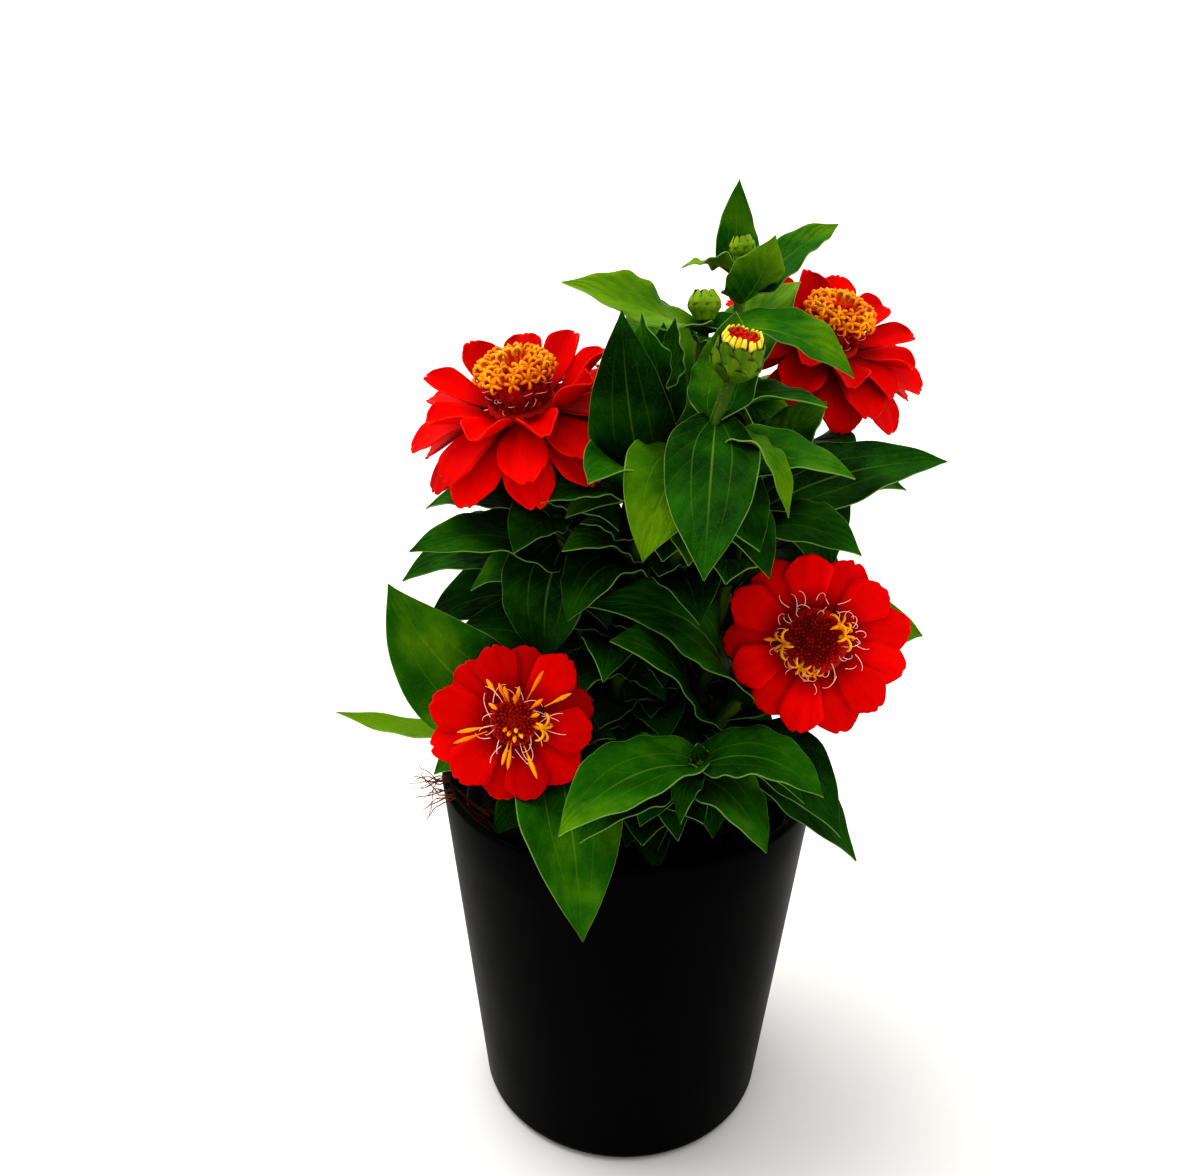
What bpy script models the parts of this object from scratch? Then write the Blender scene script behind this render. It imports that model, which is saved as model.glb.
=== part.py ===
# A zinnia in a black cover pot: the cover pot, the grower's pot standing inside it, the potting mix,
# twelve leafy stems, and five blooms, each with its petals, its disc and, when ripe, a ring of florets.
# Sizes below are in millimetres, and MM turns them into metres. The origin is the centre of the
# cover pot's foot, +Z is up and -Y is the front. Azimuths count from +X towards +Y, in degrees.

import math
import random

import bmesh
import bpy
from mathutils import Matrix, Vector
from mathutils.bvhtree import BVHTree

MM = 0.001
UP = Vector((0, 0, 1))
GAP = 0.3

# Cover pot
POT_HEIGHT = 132.0
POT_RIM_RADIUS = 65.5
POT_FOOT_RADIUS = 52.0
POT_WALL = 3.6
POT_FLOOR = 5.0
POT_SIDES = 38

# Grower's pot, which stands on the cover pot's floor
GROW_RIM_RADIUS = 57.5
GROW_FOOT_RADIUS = 42.0
GROW_HEIGHT = 115.0
GROW_WALL = 1.3
GROW_LIP = 1.8
GROW_LIP_DROP = 6.0
GROW_SIDES = 24
DRAIN_RADIUS = 4.0
DRAIN_CIRCLE = 27.0
DRAIN_COUNT = 4
DRAIN_SIDES = 6
DRAIN_TURN = 7.5

# Potting mix
MIX_TOP = 117.0
MIX_SIDES = 18
MIX_RINGS = 4
MIX_RELIEF = 1.6

# Stems
STEM_FOOT_RADIUS = 2.4
STEM_NECK_RADIUS = 1.5
STEM_SIDES = 6
STEM_SUNK = 26.0
STEM_STRAIGHT = 4.0

# Blades
LEAF_THICK = 1.1
LEAF_SHARES = (0.0, 0.1, 0.31, 0.55, 0.8, 1.0)
RULE_LEAF_SHARES = (0.0, 0.1, 0.36, 0.7, 1.0)
LEAF_FOOT = 0.5
LEAF_CLASP = 5.5
LEAF_CUP = 0.22
LEAF_WAVE = 1.6
CLEARANCE = 0.75
PETAL_THICK = 1.0
PETAL_SHARES = (0.34, 0.74, 1.0)
PETAL_WIDTHS = (0.72, 1.0, 0.56)
PETAL_CLAW = 2.6
PETAL_CLAW_WIDTH = 0.28
PETAL_NOTCH = 0.07
PETAL_FIRST_ROW = 0.85
PETAL_ROW_STEP = 1.15

# Bloom seats and discs, measured up a bloom's own axis from the top of its green cup
SEAT_THICK = 4.2
SEAT_SIDES = 12
CUP_DEPTH = 8.0
CUP_SIDES = 12
DISC_SIDES = 12
FLORET_LOBES = 4
FLORET_SPREAD = 2.5
FLORET_MOUTH = 0.45
FLORET_DROOP = 0.8
SCALE_RELIEF = 0.55

# The ring of open florets on a ripe disc: its outline above the disc's shoulder, and its florets' rows
# as (count, radius, lean, height)
RING_OUTLINE = ((3.5, 0.0), (9.2, 0.0), (10.2, 1.0), (9.0, 2.3), (3.7, 2.3))
RING_ROWS = ((10, 8.6, 56, 3.2), (5, 6.0, 20, 3.6))

# Where the few open florets of the young blooms stand round their discs
WIDE_YOUNG_TURNS = (352, 10, 28, 172, 190, 238, 256)
SLIM_YOUNG_TURNS = (15, 60, 105, 150, 195, 240, 285, 330)

GREEN = (0.055, 0.17, 0.018)
RED = (0.62, 0.006, 0.004)
MAROON = (0.2, 0.008, 0.006)
YELLOW = (0.85, 0.33, 0.015)
GLAZE_BLACK = (0.008, 0.008, 0.009)
PLASTIC_BLACK = (0.012, 0.012, 0.012)
PEAT = (0.022, 0.013, 0.008)

# Each bloom: the top of its green cup, its lean (azimuth, degrees from upright), seat radius, disc
# radius and height, and its rows of petals as (count, turn, length, half width, rise, curl, cup).
BLOOMS = {
    "left_high": {
        "head": (-34.5, -9, 257.5), "lean": (240, 19), "seat": 11.5, "disc": (9.4, 8.6), "spin": 34,
        "ripe": True, "loose": 1.0,
        "rows": (
            (8, 12, 28.5, 9.6, -10, 42, -0.1), (7, 34, 26.5, 9.4, 4, 30, 0.08),
            (7, 12, 20.5, 8.2, 32, -8, 0.35),
        ),
    },
    "right_back": {
        "head": (66.5, 45, 270), "lean": (301, 26), "seat": 11.5, "disc": (9.4, 8.6), "spin": 40,
        "ripe": True, "loose": 1.0,
        "rows": (
            (7, 0, 28, 10.4, -6, 38, -0.1), (6, 26, 26, 10.2, 8, 30, 0.05),
            (8, 8, 20, 8.4, 26, 2, 0.25),
        ),
    },
    "back": {
        "head": (7, 58, 249), "lean": (100, 38), "seat": 11.0, "disc": (9.4, 8.6), "spin": 75,
        "ripe": True, "loose": 1.0,
        "rows": (
            (7, 0, 19, 8.8, -10, 42, -0.1), (6, 26, 18, 8.8, 6, 36, 0.05),
            (4, 8, 15, 7.6, 26, 2, 0.25),
        ),
    },
    "right_low": {
        "head": (57, -24.5, 189.5), "lean": (258, 64), "seat": 11.4, "disc": (9.8, 5.2), "spin": 5,
        "ripe": False, "loose": 0.4,
        "rows": ((7, 0, 18, 7.8, 2, 12, 0.05), (6, 26, 17.5, 7.5, 9, 12, 0.08)),
    },
    "left_low": {
        "head": (-36, -46, 171), "lean": (275, 61), "seat": 8.2, "disc": (6.6, 3.8), "spin": 20,
        "ripe": False, "loose": 0.4,
        "rows": ((6, 0, 16.5, 7.6, 2, 12, 0.06), (6, 30, 16.5, 7.3, 9, 12, 0.08)),
    },
}

# Each bud: its foot on the stem, its lean, radius and length, and how far its crown is open.
BUDS = {
    "opening": {"head": (24, -45, 276), "lean": (300, 20), "radius": 7.2, "length": 10.8, "crown": 1.0},
    "round": {"head": (19.5, -5, 286.5), "lean": (110, 6), "radius": 5.0, "length": 8.0, "crown": 0.35},
    "small": {"head": (32.5, 15, 302.5), "lean": (200, 8), "radius": 3.9, "length": 6.8, "crown": 0.3},
    "back_left": {"head": (-42, 34, 256), "lean": (140, 18), "radius": 6.0, "length": 11.0, "crown": 0.6},
}

# Each stem: where it leaves the mix, the points that it bends through, what it carries, how many
# pairs of leaves grow on it by rule and the azimuth of the first, and the leaves placed by eye, outer
# ones first. A placed leaf is (share of the stem, azimuth, reach, rise, bow, half width, roll, swing).
STEMS = {
    "opening_bud": {
        "foot": (8, -10), "bends": ((8, -8, 165), (11, -12, 202), (17, -35, 246)), "bud": "opening",
        "pairs": (3, 150),
        "leaves": (
            (0.91, 263, 46, -29, 12, 13, 0, 0),
            (0.91, 62, 11, 29, -2, 10, 0, 0),
            (0.84, 243, 32, -3, 8, 11, -8, 0),
            (0.85, 309, 29, -13, 13, 6, 0, 4),
        ),
        "inner": (
            (0.52, 288, 34, -16, 9, 13, 0, 0), (0.3, 252, 38, 2, 9, 13, 0, 0),
            (0.14, 275, 32, -2, 9, 12.5, 0, 0),
        ),
    },
    "young_shoot": {
        "foot": (-4, -12), "bends": ((-4, -14, 170), (0, -20, 215), (4, -31, 246)), "top": (6, -30, 270),
        "pairs": (3, 60),
        "leaves": (
            (0.98, 222, 8, 24, -2, 6.5, 0, 0),
            (0.98, 42, 5, 22, -2, 6, 0, 0),
            (0.78, 249, 25, 56, -4, 12, 26, 0),
            (0.9, 80, 10, 32, -3, 8, 0, 0),
        ),
        "inner": (
            (0.6, 232, 32, -16, 8, 13, 0, 0), (0.34, 205, 38, -6, 8, 13, 0, 0),
            (0.13, 236, 32, 6, 8, 12.5, 0, 0),
        ),
    },
    "round_bud": {
        "foot": (5, 2), "bends": ((7, 2, 165), (12, 0, 220), (18, -4, 262)), "bud": "round",
        "pairs": (4, 30),
        "leaves": (
            (0.97, 207, 45, 16, 6, 10, -26, -4),
            (0.97, 340, 46, -10, 12, 11, 30, 0),
            (0.95, 300, 20, 2, 6, 8, 0, 0),
        ),
        "inner": ((0.44, 256, 40, 2, 9, 14, 0, 0), (0.18, 318, 38, 2, 9, 13, 0, 0)),
    },
    "small_bud": {
        "foot": (15, 9), "bends": ((18, 10, 170), (25, 12, 225), (31, 14, 270)), "bud": "small",
        "pairs": (3, 60),
        "leaves": (
            (0.96, 95, 11, 30, -6, 7, 0, 0),
            (0.92, 290, 17, 22, -3, 9.5, 0, 2),
            (0.92, 24, 38, 24, 3, 9, 24, 4),
            (0.96, 185, 19, 4, 4, 5.5, 10, 0),
        ),
        "inner": ((0.6, 282, 40, -6, 9, 13.5, 0, 0), (0.36, 300, 44, 0, 9, 14, 0, 0)),
    },
    "left_high_bloom": {
        "foot": (-11, -5), "bends": ((-13, -8, 165), (-20, -10, 205), (-27, -11, 236)),
        "bloom": "left_high", "pairs": (4, 200),
        "leaves": (
            (0.7, 254, 17, -33, 10, 14.5, 0, 0),
            (0.7, 168, 46, 8, 10, 12, -14, 0),
        ),
        "inner": (
            (0.56, 296, 34, -2, 9, 13, 0, 0), (0.34, 206, 46, 22, 8, 14, -34, 0),
            (0.18, 262, 34, 2, 8, 13, 0, 0),
        ),
    },
    "right_back_bloom": {
        "foot": (20, 14), "bends": ((28, 18, 165), (44, 28, 210), (60, 38, 245)),
        "bloom": "right_back", "pairs": (4, 20), "leaves": (),
        "inner": (
            (0.5, 268, 50, -10, 10, 15, 0, 0),
            (0.66, 300, 46, -12, 10, 14, 0, 0),
        ),
    },
    "back_bloom": {
        "foot": (2, 18), "bends": ((2, 28, 165), (4, 40, 200), (6, 51, 228)),
        "bloom": "back", "pairs": (4, 60), "leaves": (),
        "inner": (
            (0.5, 262, 52, -4, 10, 15, 0, 0),
            (0.72, 236, 50, 2, 10, 14, -10, 0),
        ),
    },
    "back_left_bud": {
        "foot": (-12, 12), "bends": ((-18, 18, 165), (-28, 25, 205), (-36, 30, 236)),
        "bud": "back_left", "pairs": (3, 110), "leaves": (),
        "inner": (
            (0.42, 208, 52, 2, 10, 15, -24, 0),
            (0.62, 284, 48, -8, 10, 15, 0, 0),
        ),
    },
    "right_shoot": {
        "foot": (20, -4), "bends": ((24, -6, 160), (30, -10, 200), (34, -18, 230)), "top": (37, -24, 246),
        "pairs": (4, 75),
        "leaves": (
            (0.98, 31, 24, 19, 2, 9.5, 20, 0),
            (0.98, 211, 7, 20, -1, 6, 0, 0),
            (0.84, 24, 70, 14, 5, 13, 34, -8),
        ),
    },
    "right_low_bloom": {
        "foot": (17, -16), "bends": ((24, -21, 150), (37, -24, 171), (49, -22, 184)),
        "bloom": "right_low", "pairs": (1, 140),
        "leaves": (
            (0.5, 197, 50, 40, 6, 12.5, -32, 0),
            (0.32, 228, 48, 52, 4, 12, -36, 0),
            (0.38, 327, 52, -30, 6, 12, 12, 0),
            (0.3, 304, 48, -12, 8, 6.5, 0, 0),
            (0.72, 24, 48, 12, 6, 11, 20, 0),
        ),
    },
    "left_low_bloom": {
        "foot": (-12, -17), "bends": ((-18, -25, 142), (-26, -32, 157), (-33, -39, 166)),
        "bloom": "left_low", "pairs": (0, 0),
        "leaves": (
            (0.7, 160, 50, 44, 4, 13.5, -52, 0),
            (0.55, 285, 52, -26, 10, 14.5, 0, 0),
            (0.62, 172, 34, 36, 4, 12, -50, 0),
            (0.5, 161, 80, 13, 5, 7, 20, 0),
        ),
    },
    "front_shoot": {
        "foot": (4, -24), "bends": ((8, -34, 140), (15, -48, 155)), "top": (20, -57, 163),
        "pairs": (1, 10),
        "leaves": (
            (0.97, 216, 50, -5, 8, 12.5, -14, 0),
            (0.97, 333, 38, 1, 8, 12, 14, 0),
            (0.98, 246, 15, -3, 7, 4.5, 0, 0),
            (0.98, 95, 5, 12, 0, 4, 0, 0),
            (0.76, 300, 36, -9, 8, 12, 0, 0),
            (0.7, 226, 42, -4, 6, 11.5, -10, 0),
        ),
    },
}

# How a leaf that grows by rule is sized along its stem, and the bends tried to clear its neighbours.
RULE_REACH = 54.0
RULE_HALF_WIDTH = 13.5
RULE_FIRST_SHARE = 0.34
RULE_LAST_SHARE = 0.76
RULE_ROLL = 26.0
BEND_TURNS = (0, 10, -10, 20, -20, 32, -32)
BEND_LIFTS = (0, 8, -8, 16, -16, 26)
BEND_SCALES = (1.0, 0.85, 0.7, 0.55)
SEED = 7


def clear_scene():
    for old in list(bpy.data.objects):
        bpy.data.objects.remove(old, do_unlink=True)


def make_material(name, color, roughness, metallic=0.0):
    material = bpy.data.materials.new(name)
    material.use_nodes = True
    shader = material.node_tree.nodes["Principled BSDF"]
    shader.inputs["Base Color"].default_value = (*color, 1.0)
    shader.inputs["Roughness"].default_value = roughness
    shader.inputs["Metallic"].default_value = metallic
    return material


def add_object(name, bm, material, smooth=False):
    """Links a new object that takes its mesh, in millimetres, from bm and frees bm."""
    bmesh.ops.triangulate(bm, faces=bm.faces[:])
    bmesh.ops.recalc_face_normals(bm, faces=bm.faces[:])
    bmesh.ops.scale(bm, vec=(MM, MM, MM), verts=bm.verts[:])
    mesh = bpy.data.meshes.new(name)
    bm.to_mesh(mesh)
    bm.free()
    if smooth:
        mesh.shade_smooth()
        mesh.set_sharp_from_angle(angle=math.radians(35))
    mesh.materials.append(material)
    obj = bpy.data.objects.new(name, mesh)
    bpy.context.scene.collection.objects.link(obj)
    return obj


def outward_of(azimuth):
    angle = math.radians(azimuth)
    return Vector((math.cos(angle), math.sin(angle), 0))


def axis_of(lean):
    """The direction of an axis that leans from upright by lean = (azimuth, degrees)."""
    azimuth, degrees = lean
    tilt = math.radians(degrees)
    return outward_of(azimuth) * math.sin(tilt) + UP * math.cos(tilt)


def head_matrix(head, lean, spin=0.0):
    """From a head's own frame, +Z along its axis, to the plant's frame."""
    turn = UP.rotation_difference(axis_of(lean)).to_matrix().to_4x4()
    return Matrix.Translation(Vector(head)) @ turn @ Matrix.Rotation(math.radians(spin), 4, "Z")


def catmull_rom(points, steps):
    """Points on a smooth curve through the given points, with steps to each span."""
    padded = [points[0] * 2 - points[1], *points, points[-1] * 2 - points[-2]]
    curve = []
    for a, b, c, d in zip(padded, padded[1:], padded[2:], padded[3:]):
        for i in range(steps):
            t = i / steps
            curve.append(
                0.5 * (2 * b + (c - a) * t + (2 * a - 5 * b + 4 * c - d) * t * t
                       + (3 * b - a - 3 * c + d) * t ** 3)
            )
    curve.append(points[-1].copy())
    return curve


def point_along(curve, share):
    """The point at a share of the curve's length."""
    lengths = [(b - a).length for a, b in zip(curve, curve[1:])]
    left = share * sum(lengths)
    for a, b, length in zip(curve, curve[1:], lengths):
        if left <= length:
            return a.lerp(b, left / length)
        left -= length
    return curve[-1].copy()


def head_of(stem):
    """The point and axis in which a stem ends."""
    for kind, heads in (("bloom", BLOOMS), ("bud", BUDS)):
        if kind in stem:
            found = heads[stem[kind]]
            return Vector(found["head"]), axis_of(found["lean"])
    top = Vector(stem["top"])
    return top, (top - Vector(stem["bends"][-1])).normalized()


def stem_curve(stem, steps=2):
    """The stem's centreline above the mix, from its straight foot to its head."""
    x, y = stem["foot"]
    head, axis = head_of(stem)
    start = Vector((x, y, MIX_TOP + STEM_STRAIGHT))
    points = [start, *(Vector(p) for p in stem["bends"])]
    if "bloom" in stem:
        points += [head - axis * CUP_DEPTH * 1.8, head - axis * CUP_DEPTH * 0.6]
    else:
        points.append(head)
    return catmull_rom(points, steps)


def stem_tube(stem):
    """The stem as a six-sided tube that narrows from its foot to its neck."""
    bm = bmesh.new()
    x, y = stem["foot"]
    curve = [Vector((x, y, MIX_TOP - STEM_SUNK)), *stem_curve(stem)]
    rings = []
    side = Vector((1, 0, 0))
    for i, point in enumerate(curve):
        ahead = curve[min(i + 1, len(curve) - 1)] - curve[max(i - 1, 0)]
        tangent = UP if i < 2 else ahead.normalized()
        side = (side - tangent * side.dot(tangent)).normalized()
        across = tangent.cross(side)
        share = max(0.0, i - 1) / (len(curve) - 2)
        radius = STEM_FOOT_RADIUS + (STEM_NECK_RADIUS - STEM_FOOT_RADIUS) * share
        ring = []
        for k in range(STEM_SIDES):
            angle = math.tau * k / STEM_SIDES
            ring.append(bm.verts.new(point + (side * math.cos(angle) + across * math.sin(angle)) * radius))
        rings.append(ring)
    for low, high in zip(rings, rings[1:]):
        for k in range(STEM_SIDES):
            bm.faces.new((low[k], low[k - 1], high[k - 1], high[k]))
    bm.faces.new(rings[0])
    bm.faces.new(rings[-1])
    return bm


def leaf_profile(share):
    """The leaf's half width at a share of its length, as a part of the widest: a clasping foot, a
    broad lower third and a long taper to the tip."""
    return (0.4 + 2.4 * share) * (1 - share) ** 1.1 / 0.78


def leaf_spine(base, azimuth, reach, rise, bow, roll, swing, share):
    """The rib's point at a share of the leaf, with the side and normal directions there."""
    outward = outward_of(azimuth)
    side = UP.cross(outward)
    chord = math.hypot(reach, rise)
    along = (outward * reach + UP * rise) / chord
    lift = (UP * reach - outward * rise) / chord
    point = base + along * chord * share + lift * bow * 4 * share * (1 - share) + side * swing * share ** 2
    tangent = (along * chord + lift * bow * 4 * (1 - 2 * share) + side * 2 * swing * share).normalized()
    side = (side - tangent * side.dot(tangent)).normalized()
    normal = tangent.cross(side)
    angle = math.radians(roll) * min(1.0, share / 0.4)
    return (
        point,
        side * math.cos(angle) + normal * math.sin(angle),
        normal * math.cos(angle) - side * math.sin(angle),
    )


def blade(rows):
    """A closed blade from rows of (left, top, right, bottom) points, split into triangles alike on
    both faces. A row of one point ends it in a tip."""
    bm = bmesh.new()
    made = [[bm.verts.new(p) for p in row] for row in rows]
    for a, b in zip(made, made[1:]):
        for k in range(4):
            n = (k + 1) % 4
            if len(a) == 1:
                bm.faces.new((a[0], b[n], b[k]))
            elif len(b) == 1:
                bm.faces.new((a[k], a[n], b[0]))
            elif k in (1, 3):
                bm.faces.new((a[k], a[n], b[k]))
                bm.faces.new((a[n], b[n], b[k]))
            else:
                bm.faces.new((a[k], a[n], b[n]))
                bm.faces.new((a[k], b[n], b[k]))
    for end in (made[0], made[-1]):
        if len(end) == 4:
            bm.faces.new((end[0], end[1], end[3]))
            bm.faces.new((end[1], end[2], end[3]))
    bmesh.ops.recalc_face_normals(bm, faces=bm.faces[:])
    return bm


def leaf_blade(leaf, grown=0.0, free=False):
    """A leaf as a blade, a point at either end. grown thickens it all round and squares its ends,
    and free leaves out its foot, both for the test against its neighbours."""
    shares, base, azimuth, reach, rise, bow, half_width, roll, swing, cup, wave, phase = leaf
    rows = []
    for share in shares[2 if free else 0:]:
        point, side, normal = leaf_spine(base, azimuth, reach, rise, bow, roll, swing, share)
        if share in (0.0, 1.0) and not grown:
            rows.append([point + outward_of(azimuth) * LEAF_FOOT * (share == 0.0)])
            continue
        profile = leaf_profile(share) * min(1.0, share * LEAF_CLASP)
        width = half_width * profile + grown
        thick = LEAF_THICK / 2 + grown
        lifts = [
            cup * width + wave * math.sin(math.tau * (1.25 * share + phase + turn)) * profile
            for turn in (0.0, 0.4)
        ]
        rows.append([
            point + side * width + normal * lifts[0],
            point + normal * thick,
            point - side * width + normal * lifts[1],
            point - normal * thick,
        ])
    return blade(rows)


def bloom_matrix(bloom):
    return head_matrix(bloom["head"], bloom["lean"], bloom["spin"])


def petal_blade(seat, height, turn, length, half_width, rise, curl, cup):
    """A petal in its bloom's frame: a narrow claw in the seat, then a blade that is broad beyond its
    middle, with a blunt, notched tip. It leaves at rise degrees and has turned down by curl
    degrees at its tip."""
    outward = outward_of(turn)
    side = UP.cross(outward)
    claw = half_width * PETAL_CLAW_WIDTH
    start = outward * (seat - PETAL_CLAW) + UP * height
    rows = [[
        start + side * claw, start + UP * PETAL_THICK / 2, start - side * claw, start - UP * PETAL_THICK / 2,
    ]]
    point = outward * seat + UP * height
    last = 0.0
    for share, width_share in zip(PETAL_SHARES, PETAL_WIDTHS):
        angle = math.radians(rise - curl * ((share + last) / 2) ** 1.2)
        along = outward * math.cos(angle) + UP * math.sin(angle)
        point = point + along * length * (share - last)
        last = share
        normal = along.cross(side)
        width = half_width * width_share
        edge = normal * cup * width
        notch = along * PETAL_NOTCH * length if share == 1.0 else Vector()
        rows.append([
            point + side * width + edge,
            point + normal * PETAL_THICK / 2 - notch,
            point - side * width + edge,
            point - normal * PETAL_THICK / 2 - notch,
        ])
    return blade(rows)


def petal_list(bloom, rng):
    """Every petal of a bloom as the values that petal_blade takes, row by row."""
    petals = []
    for row, (count, turn, length, half_width, rise, curl, cup) in enumerate(bloom["rows"]):
        for k in range(count):
            petals.append((
                bloom["seat"], PETAL_FIRST_ROW + PETAL_ROW_STEP * row,
                turn + 360 * k / count + rng.uniform(-4, 4),
                length * rng.uniform(0.93, 1.05), half_width * rng.uniform(0.92, 1.06),
                rise + bloom["loose"] * rng.uniform(-5, 5), curl + bloom["loose"] * rng.uniform(-8, 8),
                cup + rng.uniform(-0.04, 0.04),
            ))
    return petals


def lathe(profile, sides, closed_loop=False):
    """A turned body from (radius, height) points, those at radius 0 being its poles."""
    bm = bmesh.new()
    rings = []
    for radius, height in profile:
        if radius == 0:
            rings.append([bm.verts.new((0, 0, height))])
            continue
        angles = [math.tau * k / sides for k in range(sides)]
        rings.append([bm.verts.new((radius * math.cos(a), radius * math.sin(a), height)) for a in angles])
    pairs = list(zip(rings, rings[1:]))
    if closed_loop:
        pairs.append((rings[-1], rings[0]))
    for a, b in pairs:
        for k in range(sides):
            if len(a) == 1:
                bm.faces.new((a[0], b[k - 1], b[k]))
            elif len(b) == 1:
                bm.faces.new((a[k - 1], a[k], b[0]))
            else:
                bm.faces.new((a[k - 1], a[k], b[k], b[k - 1]))
    return bm


def scaly_body(profile, sides, rows, relief):
    """A turned green body whose surface is raised by formula into rows of overlapping scales."""
    bm = lathe(profile, sides)
    low = min(z for r, z in profile)
    high = max(z for r, z in profile)
    for v in bm.verts:
        radius = math.hypot(v.co.x, v.co.y)
        if radius < 0.01:
            continue
        share = (v.co.z - low) / (high - low)
        angle = math.atan2(v.co.y, v.co.x)
        row = share * rows
        bump = 0.5 + 0.5 * math.cos(angle * sides / 2 + math.pi * math.floor(row))
        swell = relief * bump * math.sin(math.pi * min(1.0, share * 1.2)) ** 0.5
        v.co.x *= 1 + swell / radius
        v.co.y *= 1 + swell / radius
    return bm


def cup_body(bloom):
    """The green cup of scales under a bloom, flat where the petals' seat stands on it."""
    seat = bloom["seat"]
    profile = (
        (0, -CUP_DEPTH), (2.6, -CUP_DEPTH),
        (seat * 0.68, -CUP_DEPTH * 0.72), (seat * 0.92, -CUP_DEPTH * 0.38),
        (seat - 1.4, -GAP), (0, -GAP),
    )
    return scaly_body(profile, CUP_SIDES, 3, SCALE_RELIEF)


def bud_body(bud):
    """A bud: an egg of scales whose crown stands open round a hollow top."""
    r, length, crown = bud["radius"], bud["length"], bud["crown"]
    profile = (
        (0, -1.0), (2.2, -0.8), (r * 0.75, length * 0.14), (r, length * 0.36), (r * 0.97, length * 0.6),
        (r * (0.55 + 0.3 * crown), length * 0.86), (r * (0.3 + 0.42 * crown), length), (0, length * 0.9),
    )
    return scaly_body(profile, CUP_SIDES, 4, SCALE_RELIEF)


def seat_body(bloom):
    """The plain disc from which a bloom's petals grow."""
    return lathe(((0, 0), (bloom["seat"], 0), (bloom["seat"], SEAT_THICK), (0, SEAT_THICK)), SEAT_SIDES)


def disc_profile(bloom):
    """The outline of the dark disc: a tall drum with a flat shoulder for the ring of open florets
    when ripe, and a dome when young."""
    radius, height = bloom["disc"]
    base = SEAT_THICK + GAP
    if bloom["ripe"]:
        shares = ((0.9, 0.0), (0.96, 0.33), (1.0, 0.66), (0.95, 1.0), (0.33, 1.0), (0.27, 1.22), (0, 1.36))
        return [(0, base)] + [(radius * r, base + height * z) for r, z in shares]
    steps = 5
    dome = [math.pi / 2 * i / steps for i in range(steps + 1)]
    return [(0, base)] + [
        (radius * math.cos(angle) if angle < dome[-1] else 0, base + height * math.sin(angle))
        for angle in dome
    ]


def disc_body(bloom):
    """The packed, unopened florets, as a solid whose rings of points are raised turn and turn about."""
    radius = bloom["disc"][0]
    base = SEAT_THICK + GAP
    profile = disc_profile(bloom)
    bm = lathe(profile, DISC_SIDES)
    rings = {round(z, 3): i for i, (r, z) in enumerate(profile)}
    shoulder = base + bloom["disc"][1]
    for v in bm.verts:
        out = math.hypot(v.co.x, v.co.y)
        if out < 0.01 or v.co.z < base + 0.1 or (bloom["ripe"] and abs(v.co.z - shoulder) < 0.01):
            continue
        place = round(math.atan2(v.co.y, v.co.x) / math.tau * DISC_SIDES) + rings[round(v.co.z, 3)]
        relief = (0.06 if place % 2 else -0.04) * radius / out
        v.co.x *= 1 + relief
        v.co.y *= 1 + relief
    return bm


def star_floret(base, direction, height, spread, spin, points=FLORET_LOBES):
    """An open floret: a tube that widens from its foot into a star of pointed lobes."""
    bm = bmesh.new()
    turn = UP.rotation_difference(direction).to_matrix()
    rim = []
    for k in range(points * 2):
        angle = math.tau * k / (points * 2) + spin
        radius = spread if k % 2 == 0 else spread * FLORET_MOUTH
        level = height - (FLORET_DROOP if k % 2 == 0 else 0.0)
        spot = Vector((radius * math.cos(angle), radius * math.sin(angle), level))
        rim.append(bm.verts.new(base + turn @ spot))
    mouth = bm.verts.new(base + turn @ Vector((0, 0, height + 0.3)))
    foot = bm.verts.new(base)
    for k in range(points * 2):
        bm.faces.new((rim[k - 1], rim[k], mouth))
        bm.faces.new((rim[k], rim[k - 1], foot))
    bmesh.ops.recalc_face_normals(bm, faces=bm.faces[:])
    return bm


def ring_level(bloom):
    """The height at which a ripe bloom's ring of open florets rests on its disc's shoulder."""
    return SEAT_THICK + GAP + bloom["disc"][1] + GAP


def ring_body(bloom):
    """The packed feet of the open florets, a low ring that rests on the disc's shoulder."""
    profile = [(radius, ring_level(bloom) + height) for radius, height in RING_OUTLINE]
    return lathe(profile, DISC_SIDES, closed_loop=True)


def ring_florets(bloom, rng):
    """The open florets of a ripe bloom, in rows that lean outwards less and less towards the middle,
    as (foot, direction, height, spread, spin)."""
    florets = []
    for count, place, lean, tall in RING_ROWS:
        for k in range(count):
            turn = 360 * k / count + rng.uniform(-5, 5)
            foot = outward_of(turn) * (place - 0.6) + UP * (ring_level(bloom) + 0.5)
            direction = axis_of((turn, lean + rng.uniform(-6, 6)))
            florets.append((foot, direction, (tall + 1.4) * rng.uniform(0.92, 1.08), FLORET_SPREAD,
                            rng.uniform(0, 1.2)))
    return florets


def young_florets(bloom, rng):
    """The few open florets of a young bloom, which lean out over its petals."""
    radius, height = bloom["disc"]
    florets = []
    for turn in WIDE_YOUNG_TURNS if radius > 8 else SLIM_YOUNG_TURNS:
        foot = outward_of(turn) * radius * 0.66 + UP * (SEAT_THICK + GAP + height * 0.35)
        direction = axis_of((turn, 52 + rng.uniform(-8, 8)))
        florets.append((foot, direction, rng.uniform(5.2, 6.4), 2.2, rng.uniform(0, 1.2)))
    return florets


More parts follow.
